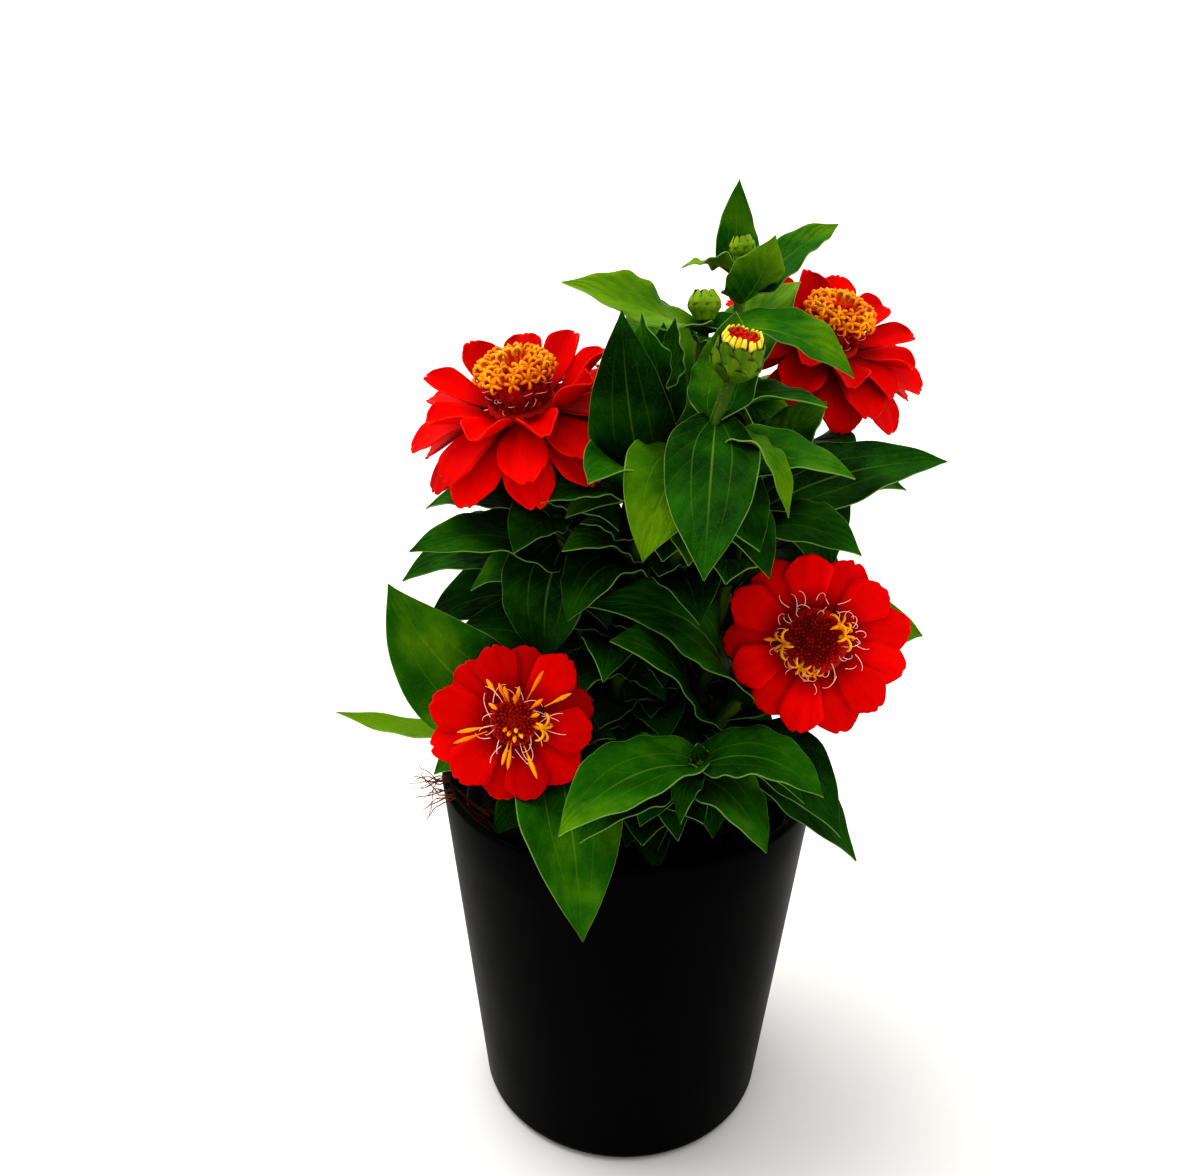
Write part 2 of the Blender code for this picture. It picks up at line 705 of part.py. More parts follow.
def join_bodies(name, bodies, material):
    """One solid: the first body with the others joined to it by a Boolean union."""
    main, *others = bodies
    obj = add_object(name, main, material)
    if not others:
        return obj
    group = bpy.data.collections.new(name + " repeats")
    for i, bm in enumerate(others):
        piece = add_object(f"{name} piece {i}", bm, material)
        bpy.context.scene.collection.objects.unlink(piece)
        group.objects.link(piece)
    union = obj.modifiers.new("Union", "BOOLEAN")
    union.operation = "UNION"
    union.operand_type = "COLLECTION"
    union.collection = group
    union.solver = "EXACT"
    graph = bpy.context.evaluated_depsgraph_get()
    joined = bpy.data.meshes.new_from_object(obj.evaluated_get(graph))
    obj.modifiers.clear()
    old = obj.data
    obj.data = joined
    joined.name = name
    bpy.data.meshes.remove(old)
    for piece in list(group.objects):
        bpy.data.objects.remove(piece, do_unlink=True)
    bpy.data.collections.remove(group)
    return obj


def pot_radius(height):
    """The cover pot's outer radius at a height above its foot."""
    return POT_FOOT_RADIUS + (POT_RIM_RADIUS - POT_FOOT_RADIUS) * height / POT_HEIGHT


def grow_radius(height):
    """The grower's pot's outer radius at a height above its own foot."""
    return GROW_FOOT_RADIUS + (GROW_RIM_RADIUS - GROW_LIP - GROW_FOOT_RADIUS) * height / GROW_HEIGHT


def cover_pot(material):
    """The cover pot: a plain cone with a softly rounded foot and rim, turned as one wall."""
    corner = 4.5
    lip = POT_WALL / 2
    profile = [(POT_FOOT_RADIUS - corner - 6, 0.0)]
    for i in range(4):
        angle = math.pi / 2 * i / 3
        profile.append((
            pot_radius(corner) - corner + corner * math.sin(angle),
            corner - corner * math.cos(angle),
        ))
    for i in range(4):
        angle = math.pi * i / 3
        profile.append((
            pot_radius(POT_HEIGHT - lip) - lip + lip * math.cos(angle),
            POT_HEIGHT - lip + lip * math.sin(angle),
        ))
    profile.append((pot_radius(POT_FLOOR + 5) - POT_WALL, POT_FLOOR + 5))
    profile.append((pot_radius(POT_FLOOR) - POT_WALL - 4, POT_FLOOR))
    profile.append((0, POT_FLOOR))
    bm = lathe([(0, 0.0), *profile], POT_SIDES)
    return add_object("cover_pot", bm, material, smooth=True)


def grow_pot(material):
    """The grower's pot: a thin tapered cup with a turned-out lip, and drain holes in its floor."""
    foot = POT_FLOOR + GAP
    top = foot + GROW_HEIGHT
    lip_height = GROW_HEIGHT - GROW_LIP_DROP
    profile = (
        (0, foot), (GROW_FOOT_RADIUS, foot), (grow_radius(lip_height), foot + lip_height),
        (GROW_RIM_RADIUS, foot + lip_height), (GROW_RIM_RADIUS, top),
        (GROW_RIM_RADIUS - GROW_LIP, top), (grow_radius(lip_height) - GROW_WALL, foot + lip_height - 1),
        (GROW_FOOT_RADIUS - GROW_WALL, foot + GROW_WALL), (0, foot + GROW_WALL),
    )
    obj = add_object("grow_pot", lathe(profile, GROW_SIDES), material, smooth=True)
    for k in range(DRAIN_COUNT):
        cutter = lathe(((0, -3), (DRAIN_RADIUS, -3), (DRAIN_RADIUS, 5), (0, 5)), DRAIN_SIDES)
        turn = 360 * k / DRAIN_COUNT + DRAIN_TURN
        spot = outward_of(turn) * DRAIN_CIRCLE + UP * foot
        cutter.transform(Matrix.Translation(spot) @ Matrix.Rotation(math.radians(DRAIN_TURN), 4, "Z"))
        cut(obj, cutter)
    return obj


def cut(obj, bm):
    """Cuts a body out of obj and removes the cutter."""
    tool = add_object("cutter", bm, obj.data.materials[0])
    hole = obj.modifiers.new("Hole", "BOOLEAN")
    hole.operation = "DIFFERENCE"
    hole.object = tool
    graph = bpy.context.evaluated_depsgraph_get()
    old = obj.data
    obj.data = bpy.data.meshes.new_from_object(obj.evaluated_get(graph))
    obj.modifiers.clear()
    bpy.data.meshes.remove(old)
    bpy.data.objects.remove(tool, do_unlink=True)


def mix_height(x, y):
    """The potting mix's surface: crumbly, a little heaped in the middle."""
    crumbs = math.sin(x * 0.31 + 1.0) * math.cos(y * 0.27) + 0.6 * math.sin(x * 0.17 - y * 0.38)
    heap = 3.0 * (1 - (math.hypot(x, y) / 54.0) ** 2)
    return MIX_TOP - 3.0 + heap + MIX_RELIEF * crumbs * 0.6


def potting_mix(material):
    """The potting mix, filling the grower's pot, with a plain hole for each stem."""
    foot = POT_FLOOR + GAP + GROW_WALL + GAP
    pot_foot = POT_FLOOR + GAP
    low_radius = GROW_FOOT_RADIUS - GROW_WALL - GAP
    top_radius = grow_radius(MIX_TOP - 6 - pot_foot) - GROW_WALL - GAP - 0.4
    profile = [(0, foot), (low_radius, foot), (top_radius, MIX_TOP - 6)]
    for i in range(MIX_RINGS):
        profile.append(((top_radius - 0.6) * (1 - i / MIX_RINGS), MIX_TOP))
    profile.append((0, MIX_TOP))
    bm = lathe(profile, MIX_SIDES)
    for v in bm.verts:
        if v.co.z > MIX_TOP - 1:
            v.co.z = mix_height(v.co.x, v.co.y)
    obj = add_object("potting_mix", bm, material)
    widen = 1 + (GAP + 0.1) / (STEM_FOOT_RADIUS * math.cos(math.pi / STEM_SIDES))
    for stem in STEMS.values():
        radius = STEM_FOOT_RADIUS * widen
        deep = MIX_TOP - STEM_SUNK - GAP
        hole = lathe(((0, deep), (radius, deep), (radius, MIX_TOP + 20), (0, MIX_TOP + 20)), STEM_SIDES)
        hole.transform(Matrix.Translation(Vector((*stem["foot"], 0))))
        cut(obj, hole)
    return obj


def outer_leaves(stem):
    return stem["leaves"]


def inner_leaves(stem):
    return stem.get("inner", ())


def rule_leaves(stem):
    """The leaves that grow by rule: crosswise pairs, the lower ones wide and drooping and the
    higher ones smaller and more upright."""
    count, first = stem["pairs"]
    leaves = []
    for k in range(count):
        step = k / max(1, count - 1)
        share = RULE_FIRST_SHARE + (RULE_LAST_SHARE - RULE_FIRST_SHARE) * step
        size = 1.05 - 0.3 * abs(step - 0.4)
        for azimuth in (first + 90 * k, first + 90 * k + 180):
            leaves.append((
                share, azimuth, RULE_REACH * size, -16 + 34 * step, 11 - 3 * step, RULE_HALF_WIDTH * size,
                RULE_ROLL * math.cos(math.radians(azimuth)), 0,
            ))
    return leaves


class Obstacle:
    """A body that leaves keep clear of: its owner's name, its tree and its box."""

    def __init__(self, owner, bm):
        self.owner = owner
        self.tree = BVHTree.FromBMesh(bm)
        self.low = [min(v.co[i] for v in bm.verts) for i in range(3)]
        self.high = [max(v.co[i] for v in bm.verts) for i in range(3)]
        bm.free()

    def meets(self, other):
        near = all(self.low[i] < other.high[i] and other.low[i] < self.high[i] for i in range(3))
        return near and bool(self.tree.overlap(other.tree))


def leaf_clears(leaf, name, obstacles):
    """Whether a leaf of the named stem keeps its distance: from its own stem and that stem's other
    leaves beyond its foot only, and from all else along its whole length."""
    whole = Obstacle(name, leaf_blade(leaf, grown=CLEARANCE))
    free = Obstacle(name, leaf_blade(leaf, grown=CLEARANCE, free=True))
    return not any((free if other.owner == name else whole).meets(other) for other in obstacles)


def grow_leaves(obstacles):
    """Every leaf of the plant, by stem. Placed leaves come first, outer before inner, then those by
    rule, and each takes the first bend in which it clears what stands already. A leaf that no bend
    clears is left out."""
    rng = random.Random(SEED)
    curves = {name: stem_curve(stem) for name, stem in STEMS.items()}
    grown = {name: [] for name in STEMS}
    bends = sorted(
        ((turn, lift, scale) for scale in BEND_SCALES for turn in BEND_TURNS for lift in BEND_LIFTS),
        key=lambda b: abs(b[0]) + abs(b[1]) + (1 - b[2]) * 60,
    )
    for listed in (outer_leaves, inner_leaves, rule_leaves):
        by_rule = listed is rule_leaves
        for name, stem in STEMS.items():
            for share, azimuth, reach, rise, bow, half_width, roll, swing in listed(stem):
                base = point_along(curves[name], share)
                cup = LEAF_CUP + rng.uniform(-0.12, 0.12)
                wave = LEAF_WAVE * rng.uniform(0.6, 1.3)
                phase = rng.uniform(0, 1)
                azimuth += rng.uniform(-12, 12) * by_rule
                for turn, lift, scale in bends:
                    leaf = (
                        RULE_LEAF_SHARES if by_rule else LEAF_SHARES, base, azimuth + turn,
                        reach * scale, rise + lift, bow, half_width * (0.4 + 0.6 * scale),
                        roll, swing, cup, wave, phase,
                    )
                    if leaf_clears(leaf, name, obstacles):
                        grown[name].append(leaf)
                        obstacles.append(Obstacle(name, leaf_blade(leaf)))
                        break
    return grown


def moved(bm, matrix):
    bm.transform(matrix)
    return bm


def bloom_bodies(name):
    """A bloom's bodies in the plant's frame, as lists for its petals, its disc and its ring."""
    bloom = BLOOMS[name]
    rng = random.Random(name)
    place = bloom_matrix(bloom)
    petals = [seat_body(bloom)] + [petal_blade(*petal) for petal in petal_list(bloom, rng)]
    disc = [disc_body(bloom)]
    ring = []
    if bloom["ripe"]:
        ring = [ring_body(bloom)] + [star_floret(*floret) for floret in ring_florets(bloom, rng)]
    else:
        disc += [star_floret(*floret) for floret in young_florets(bloom, rng)]
    return tuple([moved(bm, place) for bm in bodies] for bodies in (petals, disc, ring))


def stem_core(stem):
    """A stem's tube with the green cup or the bud that it carries."""
    bodies = [stem_tube(stem)]
    if "bloom" in stem:
        bloom = BLOOMS[stem["bloom"]]
        bodies.append(moved(cup_body(bloom), bloom_matrix(bloom)))
    if "bud" in stem:
        bud = BUDS[stem["bud"]]
        bodies.append(moved(bud_body(bud), head_matrix(bud["head"], bud["lean"])))
    return bodies


def plant_obstacles(pots):
    """What stands before any leaf grows: the pots, the stems and the blooms."""
    obstacles = []
    for obj in pots:
        bm = bmesh.new()
        bm.from_mesh(obj.data)
        bmesh.ops.scale(bm, vec=(1 / MM, 1 / MM, 1 / MM), verts=bm.verts[:])
        obstacles.append(Obstacle(obj.name, bm))
    for name, stem in STEMS.items():
        obstacles += [Obstacle(name, bm) for bm in stem_core(stem)]
    for name in BLOOMS:
        obstacles += [Obstacle("bloom " + name, bm) for bodies in bloom_bodies(name) for bm in bodies]
    return obstacles


def build():
    clear_scene()
    green = make_material("leaf green", GREEN, 0.55)
    red = make_material("petal red", RED, 0.5)
    maroon = make_material("disc maroon", MAROON, 0.7)
    yellow = make_material("floret yellow", YELLOW, 0.5)
    pots = [
        cover_pot(make_material("black glaze", GLAZE_BLACK, 0.35)),
        grow_pot(make_material("black plastic", PLASTIC_BLACK, 0.5)),
        potting_mix(make_material("peat", PEAT, 0.95)),
    ]
    leaves = grow_leaves(plant_obstacles(pots))
    for name, stem in STEMS.items():
        blades = [leaf_blade(leaf) for leaf in leaves[name]]
        join_bodies("stem_" + name, stem_core(stem) + blades, green)
    for name in BLOOMS:
        petals, disc, ring = bloom_bodies(name)
        join_bodies("petals_" + name, petals, red)
        join_bodies("disc_" + name, disc, maroon)
        if ring:
            join_bodies("ring_" + name, ring, yellow)


build()
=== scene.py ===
# A zinnia in a black cover pot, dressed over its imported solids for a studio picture.
# Lengths in the dictionaries are millimetres, angles are degrees, azimuths count from +X towards +Y.
import math
import random

import bmesh
import bpy
from mathutils import Matrix, Vector
from mathutils.bvhtree import BVHTree
from mathutils.kdtree import KDTree


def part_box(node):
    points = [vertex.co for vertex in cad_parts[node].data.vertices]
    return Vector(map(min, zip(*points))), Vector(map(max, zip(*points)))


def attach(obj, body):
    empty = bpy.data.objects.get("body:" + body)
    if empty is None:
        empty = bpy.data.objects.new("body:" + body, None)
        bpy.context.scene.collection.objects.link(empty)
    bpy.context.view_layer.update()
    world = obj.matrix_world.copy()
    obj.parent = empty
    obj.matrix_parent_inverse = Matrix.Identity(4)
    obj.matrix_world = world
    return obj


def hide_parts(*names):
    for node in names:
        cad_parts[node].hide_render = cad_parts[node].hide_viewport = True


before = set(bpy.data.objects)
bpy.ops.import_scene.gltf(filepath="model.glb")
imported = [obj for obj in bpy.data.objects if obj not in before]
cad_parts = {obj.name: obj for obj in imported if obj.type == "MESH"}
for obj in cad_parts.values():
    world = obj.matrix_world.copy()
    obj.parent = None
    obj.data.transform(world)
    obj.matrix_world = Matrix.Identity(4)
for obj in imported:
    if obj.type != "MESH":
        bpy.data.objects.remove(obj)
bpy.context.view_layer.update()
print("frame loaded:", len(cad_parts), "solids")

mm = 0.001
up = Vector((0, 0, 1))
goldenTurn = 137.508  # degrees from one floret of a disc to the next

# where every bloom, bud and stem of this plant stands
blooms = {
    "left_high": {
        "head": (-34.5, -9, 257.5), "lean": (240, 19), "seat": 11.5, "disc": (9.4, 8.6), "spin": 34,
        "ripe": True, "loose": 1.0, "reds": (0.12, 0.68),
        "rows": (
            (8, 12, 28.5, 9.6, -10, 42, -0.1), (7, 34, 26.5, 9.4, 4, 30, 0.08),
            (7, 12, 20.5, 8.2, 32, -8, 0.35),
        ),
    },
    "right_back": {
        "head": (66.5, 45, 270), "lean": (301, 26), "seat": 11.5, "disc": (9.4, 8.6), "spin": 40,
        "ripe": True, "loose": 1.0, "reds": (0.12, 0.68),
        "rows": (
            (7, 0, 28, 10.4, -6, 38, -0.1), (6, 26, 26, 10.2, 8, 30, 0.05),
            (8, 8, 20, 8.4, 26, 2, 0.25),
        ),
    },
    "back": {
        "head": (7, 58, 249), "lean": (100, 38), "seat": 11.0, "disc": (9.4, 8.6), "spin": 75,
        "ripe": True, "loose": 1.0, "reds": (0.12, 0.68),
        "rows": (
            (7, 0, 19, 8.8, -10, 42, -0.1), (6, 26, 18, 8.8, 6, 36, 0.05),
            (4, 8, 15, 7.6, 26, 2, 0.25),
        ),
    },
    # right_low's reds start higher than the other blooms': painted light that brightens this bloom's petals
    "right_low": {
        "head": (57, -24.5, 189.5), "lean": (258, 64), "seat": 11.4, "disc": (9.8, 5.2), "spin": 5,
        "ripe": False, "loose": 0.4, "reds": (0.45, 1.1),
        "rows": ((7, 0, 18, 7.8, 2, 12, 0.05), (6, 26, 17.5, 7.5, 9, 12, 0.08)),
    },
    "left_low": {
        "head": (-36, -46, 171), "lean": (275, 61), "seat": 8.2, "disc": (6.6, 3.8), "spin": 20,
        "ripe": False, "loose": 0.4, "reds": (0.0, 0.6),
        "rows": ((6, 0, 16.5, 7.6, 2, 12, 0.06), (6, 30, 16.5, 7.3, 9, 12, 0.08)),
    },
}
buds = {
    "opening": {"head": (24, -45, 276), "lean": (300, 20), "radius": 7.2, "length": 10.8, "crown": 1.0},
    "round": {"head": (19.5, -5, 286.5), "lean": (110, 6), "radius": 5.0, "length": 8.0, "crown": 0.35},
    "small": {"head": (32.5, 15, 302.5), "lean": (200, 8), "radius": 3.9, "length": 6.8, "crown": 0.3},
    "back_left": {"head": (-42, 34, 256), "lean": (140, 18), "radius": 6.0, "length": 11.0, "crown": 0.6},
}
# a leaf is (share of the stem, azimuth, reach, rise, bow, half width, roll, swing), the inner ones grow
# inside the plant, and pairs is (how many pairs grow by rule, azimuth of the first)
stems = {
    "opening_bud": {
        "foot": (8, -10), "bends": ((8, -8, 165), (11, -12, 202), (17, -35, 246)), "bud": "opening",
        "pairs": (3, 150),
        "leaves": (
            (0.91, 263, 46, -29, 12, 13, 0, 0),
            (0.91, 62, 11, 29, -2, 10, 0, 0),
            (0.84, 243, 32, -3, 8, 11, -8, 0),
            (0.85, 309, 29, -13, 13, 6, 0, 4),
        ),
        "inner": (
            (0.52, 288, 34, -16, 9, 13, 0, 0), (0.3, 252, 38, 2, 9, 13, 0, 0),
            (0.14, 275, 32, -2, 9, 12.5, 0, 0),
        ),
    },
    "young_shoot": {
        "foot": (-4, -12), "bends": ((-4, -14, 170), (0, -20, 215), (4, -31, 246)), "top": (6, -30, 270),
        "pairs": (3, 60),
        "leaves": (
            (0.98, 222, 8, 24, -2, 6.5, 0, 0),
            (0.98, 42, 5, 22, -2, 6, 0, 0),
            (0.78, 249, 25, 56, -4, 12, 26, 0),
            (0.9, 80, 10, 32, -3, 8, 0, 0),
        ),
        "inner": (
            (0.6, 232, 32, -16, 8, 13, 0, 0), (0.34, 205, 38, -6, 8, 13, 0, 0),
            (0.13, 236, 32, 6, 8, 12.5, 0, 0),
        ),
    },
    "round_bud": {
        "foot": (5, 2), "bends": ((7, 2, 165), (12, 0, 220), (18, -4, 262)), "bud": "round",
        "pairs": (4, 30),
        "leaves": (
            (0.97, 207, 45, 16, 6, 10, -26, -4),
            (0.97, 340, 46, -10, 12, 11, 30, 0),
            (0.95, 300, 20, 2, 6, 8, 0, 0),
        ),
        "inner": ((0.44, 256, 40, 2, 9, 14, 0, 0), (0.18, 318, 38, 2, 9, 13, 0, 0)),
    },
    "small_bud": {
        "foot": (15, 9), "bends": ((18, 10, 170), (25, 12, 225), (31, 14, 270)), "bud": "small",
        "pairs": (3, 60),
        "leaves": (
            (0.96, 95, 11, 30, -6, 7, 0, 0),
            (0.92, 290, 17, 22, -3, 9.5, 0, 2),
            (0.92, 24, 38, 24, 3, 9, 24, 4),
            (0.96, 185, 19, 4, 4, 5.5, 10, 0),
        ),
        "inner": ((0.6, 282, 40, -6, 9, 13.5, 0, 0), (0.36, 300, 44, 0, 9, 14, 0, 0)),
    },
    "left_high_bloom": {
        "foot": (-11, -5), "bends": ((-13, -8, 165), (-20, -10, 205), (-27, -11, 236)),
        "bloom": "left_high", "pairs": (4, 200),
        "leaves": ((0.7, 254, 17, -33, 10, 14.5, 0, 0), (0.7, 168, 46, 8, 10, 12, -14, 0)),
        "inner": (
            (0.56, 296, 34, -2, 9, 13, 0, 0), (0.34, 206, 46, 22, 8, 14, -34, 0),
            (0.18, 262, 34, 2, 8, 13, 0, 0),
        ),
    },
    "right_back_bloom": {
        "foot": (20, 14), "bends": ((28, 18, 165), (44, 28, 210), (60, 38, 245)),
        "bloom": "right_back", "pairs": (4, 20),
        "inner": ((0.5, 268, 50, -10, 10, 15, 0, 0), (0.66, 300, 46, -12, 10, 14, 0, 0)),
    },
    "back_bloom": {
        "foot": (2, 18), "bends": ((2, 28, 165), (4, 40, 200), (6, 51, 228)),
        "bloom": "back", "pairs": (4, 60),
        "inner": ((0.5, 262, 52, -4, 10, 15, 0, 0), (0.72, 236, 50, 2, 10, 14, -10, 0)),
    },
    "back_left_bud": {
        "foot": (-12, 12), "bends": ((-18, 18, 165), (-28, 25, 205), (-36, 30, 236)),
        "bud": "back_left", "pairs": (3, 110),
        "inner": ((0.42, 208, 52, 2, 10, 15, -24, 0), (0.62, 284, 48, -8, 10, 15, 0, 0)),
    },
    "right_shoot": {
        "foot": (20, -4), "bends": ((24, -6, 160), (30, -10, 200), (34, -18, 230)), "top": (37, -24, 246),
        "pairs": (4, 75),
        "leaves": (
            (0.98, 31, 24, 19, 2, 9.5, 20, 0),
            (0.98, 211, 7, 20, -1, 6, 0, 0),
            (0.84, 24, 70, 14, 5, 13, 34, -8),
        ),
    },
    "right_low_bloom": {
        "foot": (17, -16), "bends": ((24, -21, 150), (37, -24, 171), (49, -22, 184)),
        "bloom": "right_low", "pairs": (1, 140),
        "leaves": (
            (0.5, 197, 50, 40, 6, 12.5, -32, 0),
            (0.32, 228, 48, 52, 4, 12, -36, 0),
            (0.38, 327, 52, -30, 6, 12, 12, 0),
            (0.3, 304, 48, -12, 8, 6.5, 0, 0),
            (0.72, 24, 48, 12, 6, 11, 20, 0),
        ),
    },
    "left_low_bloom": {
        "foot": (-12, -17), "bends": ((-18, -25, 142), (-26, -32, 157), (-33, -39, 166)),
        "bloom": "left_low", "pairs": (0, 0),
        "leaves": (
            (0.7, 160, 50, 44, 4, 13.5, -52, 0),
            (0.55, 285, 52, -26, 10, 14.5, 0, 0),
            (0.62, 172, 34, 36, 4, 12, -50, 0),
            (0.5, 161, 80, 13, 5, 7, 20, 0),
        ),
    },
    "front_shoot": {
        "foot": (4, -24), "bends": ((8, -34, 140), (15, -48, 155)), "top": (20, -57, 163),
        "pairs": (1, 10),
        "leaves": (
            (0.97, 216, 50, -5, 8, 12.5, -14, 0),
            (0.97, 333, 38, 1, 8, 12, 14, 0),
            (0.98, 246, 15, -3, 7, 4.5, 0, 0),
            (0.98, 95, 5, 12, 0, 4, 0, 0),
            (0.76, 300, 36, -9, 8, 12, 0, 0),
            (0.7, 226, 42, -4, 6, 11.5, -10, 0),
        ),
    },
}
growth = {
    "seed": 7, "mixTop": 117, "straight": 4, "sunk": 12, "cupDepth": 8,
    "reach": 54, "halfWidth": 13.5, "firstShare": 0.34, "lastShare": 0.76, "roll": 26,
    "turns": (0, 10, -10, 20, -20, 32, -32), "lifts": (0, 8, -8, 16, -16, 26),
    "scales": (1.0, 0.85, 0.7, 0.55),
}


# ways of working that every piece shares

def srgb(hexText):
    parts = [int(hexText[i:i + 2], 16) / 255 for i in (1, 3, 5)]
    return [c / 12.92 if c <= 0.04045 else ((c + 0.055) / 1.055) ** 2.4 for c in parts] + [1.0]


def addNode(tree, kind, settings=None, links=None):
    node = tree.nodes.new("ShaderNode" + kind)
    for key, value in (settings or {}).items():
        if isinstance(key, int) or key in node.inputs:
            node.inputs[key].default_value = value
        else:
            setattr(node, key, value)
    for key, source in (links or {}).items():
        socket = source if isinstance(source, bpy.types.NodeSocket) else source.outputs[0]
        tree.links.new(socket, node.inputs[key])
    return node


def newMaterial(name, settings):
    material = bpy.data.materials.new(name)
    material.use_nodes = True
    shader = material.node_tree.nodes["Principled BSDF"]
    for key, value in settings.items():
        shader.inputs[key].default_value = value
    return material, material.node_tree, shader


def deselect():
    if bpy.context.object and bpy.context.object.mode != "OBJECT":
        bpy.ops.object.mode_set(mode="OBJECT")
    bpy.ops.object.select_all(action="DESELECT")


def applyAll(piece):
    bpy.context.view_layer.objects.active = piece
    for modifier in list(piece.modifiers):
        bpy.ops.object.modifier_apply(modifier=modifier.name)


def joinPieces(name, parts):
    deselect()
    for part in parts:
        part.select_set(True)
    bpy.context.view_layer.objects.active = parts[0]
    if len(parts) > 1:
        bpy.ops.object.join()
    parts[0].name = parts[0].data.name = name
    return parts[0]


def finishPiece(piece, node=None):
    for face in piece.data.polygons:
        face.use_smooth = True
    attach(piece, "root")
    if node:
        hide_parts(node)


def setTint(piece, value):
    tint = piece.data.attributes.get("tint") or piece.data.attributes.new("tint", "FLOAT", "POINT")
    tint.data.foreach_set("value", [value] * len(piece.data.vertices))


def gridSheet(name, along, across, thickness, place, material, tint=0.5):
    # a flat grid whose points go where place(share along, share across from -1 to 1) says, in mm
    deselect()
    bpy.ops.mesh.primitive_grid_add(x_subdivisions=along, y_subdivisions=across, size=1)
    sheet = bpy.context.object
    sheet.name = name
    for v in sheet.data.vertices:
        v.co = place(v.co.x + 0.5, v.co.y * 2) * mm
    if thickness:
        solid = sheet.modifiers.new("Thickness", "SOLIDIFY")
        solid.thickness = thickness * mm
        solid.offset = 0
        applyAll(sheet)
    sheet.data.materials.append(material)
    setTint(sheet, tint)
    return sheet


def copiesOf(name, model, places, tints=None):
    # one mesh of moved copies of a model, which is then removed
    built = bmesh.new()
    layer = built.verts.layers.float.new("tint")
    for i, place in enumerate(places):
        known = len(built.verts)
        built.from_mesh(model.data)
        built.verts.ensure_lookup_table()
        fresh = built.verts[known:]
        bmesh.ops.transform(built, matrix=place, verts=fresh)
        for v in fresh:
            v[layer] = tints[i] if tints else 0.5
    mesh = bpy.data.meshes.new(name)
    built.to_mesh(mesh)
    built.free()
    for material in model.data.materials:
        mesh.materials.append(material)
    piece = bpy.data.objects.new(name, mesh)
    bpy.context.scene.collection.objects.link(piece)
    bpy.data.objects.remove(model, do_unlink=True)
    return piece


def sweptLines(name, lines, material, sides=1):
    # round threads along lists of (point, radius) in mm, closed at both ends
    curve = bpy.data.curves.new(name, "CURVE")
    curve.dimensions = "3D"
    curve.bevel_depth = mm
    curve.bevel_resolution = sides
    curve.use_fill_caps = True
    for line in lines:
        spline = curve.splines.new("POLY")
        spline.points.add(len(line) - 1)
        for spot, (point, radius) in zip(spline.points, line):
            spot.co = (*(point * mm), 1)
            spot.radius = radius
    thread = bpy.data.objects.new(name, curve)
    bpy.context.scene.collection.objects.link(thread)
    deselect()
    thread.select_set(True)
    bpy.context.view_layer.objects.active = thread
    bpy.ops.object.convert(target="MESH")
    thread = bpy.context.object
    thread.data.materials.clear()
    thread.data.materials.append(material)
    setTint(thread, 0.5)
    return thread


def spunShape(name, outline, steps, material):
    # an outline of (radius, height) in mm, turned once round the upright axis
    deselect()
    mesh = bpy.data.meshes.new(name)
    edges = [(i, i + 1) for i in range(len(outline) - 1)]
    mesh.from_pydata([(r * mm, 0, z * mm) for r, z in outline], edges, [])
    shape = bpy.data.objects.new(name, mesh)
    bpy.context.scene.collection.objects.link(shape)
    shape.select_set(True)
    bpy.context.view_layer.objects.active = shape
    bpy.ops.object.mode_set(mode="EDIT")
    bpy.ops.mesh.select_all(action="SELECT")
    bpy.ops.mesh.spin(steps=steps, angle=math.tau, center=(0, 0, 0), axis=(0, 0, 1))
    bpy.ops.mesh.select_all(action="SELECT")
    bpy.ops.mesh.remove_doubles(threshold=0.00001)
    bpy.ops.mesh.normals_make_consistent(inside=False)
    bpy.ops.object.mode_set(mode="OBJECT")
    shape.data.materials.append(material)
    setTint(shape, 0.5)
    return shape


def outwardOf(azimuth):
    angle = math.radians(azimuth)
    return Vector((math.cos(angle), math.sin(angle), 0))


def axisOf(lean):
    azimuth, degrees = lean
    return outwardOf(azimuth) * math.sin(math.radians(degrees)) + up * math.cos(math.radians(degrees))


def aimed(spot, direction, spin, size=(1, 1, 1)):
    # a place in mm, with the local +Z turned along a direction
    turn = up.rotation_difference(direction).to_matrix().to_4x4()
    return Matrix.Translation(spot * mm) @ turn @ Matrix.Rotation(spin, 4, "Z") @ Matrix.Diagonal((*size, 1))


def onHead(piece, head):
    # a piece made round the origin, its axis along +Z, goes to its place on a bloom or bud
    spin = math.radians(head.get("spin", 0))
    piece.data.transform(aimed(Vector(head["head"]), axisOf(head["lean"]), spin))
    return piece


def catmullRom(points, steps):
    padded = [points[0] * 2 - points[1], *points, points[-1] * 2 - points[-2]]
    curve = []
    for a, b, c, d in zip(padded, padded[1:], padded[2:], padded[3:]):
        for i in range(steps):
            t = i / steps
            curve.append(0.5 * (2 * b + (c - a) * t + (2 * a - 5 * b + 4 * c - d) * t * t
                                + (3 * b - a - 3 * c + d) * t ** 3))
    curve.append(points[-1].copy())
    return curve


def pointAlong(curve, share):
    lengths = [(b - a).length for a, b in zip(curve, curve[1:])]
    left = share * sum(lengths)
    for a, b, length in zip(curve, curve[1:], lengths):
        if left <= length:
            return a.lerp(b, left / length)
        left -= length
    return curve[-1].copy()


def stemCurve(stem, steps):
    points = [Vector((*stem["foot"], growth["mixTop"] + growth["straight"]))] + [Vector(p) for p in stem["bends"]]
    if "bloom" in stem:
        found = blooms[stem["bloom"]]
        head, axis = Vector(found["head"]), axisOf(found["lean"])
        points += [head - axis * growth["cupDepth"] * 1.8, head - axis * growth["cupDepth"] * 0.6]
    else:
        points.append(Vector(buds[stem["bud"]]["head"] if "bud" in stem else stem["top"]))
    return catmullRom(points, steps)


# materials, each named for what the real thing is; a pattern of scale N repeats every 1000 / N mm

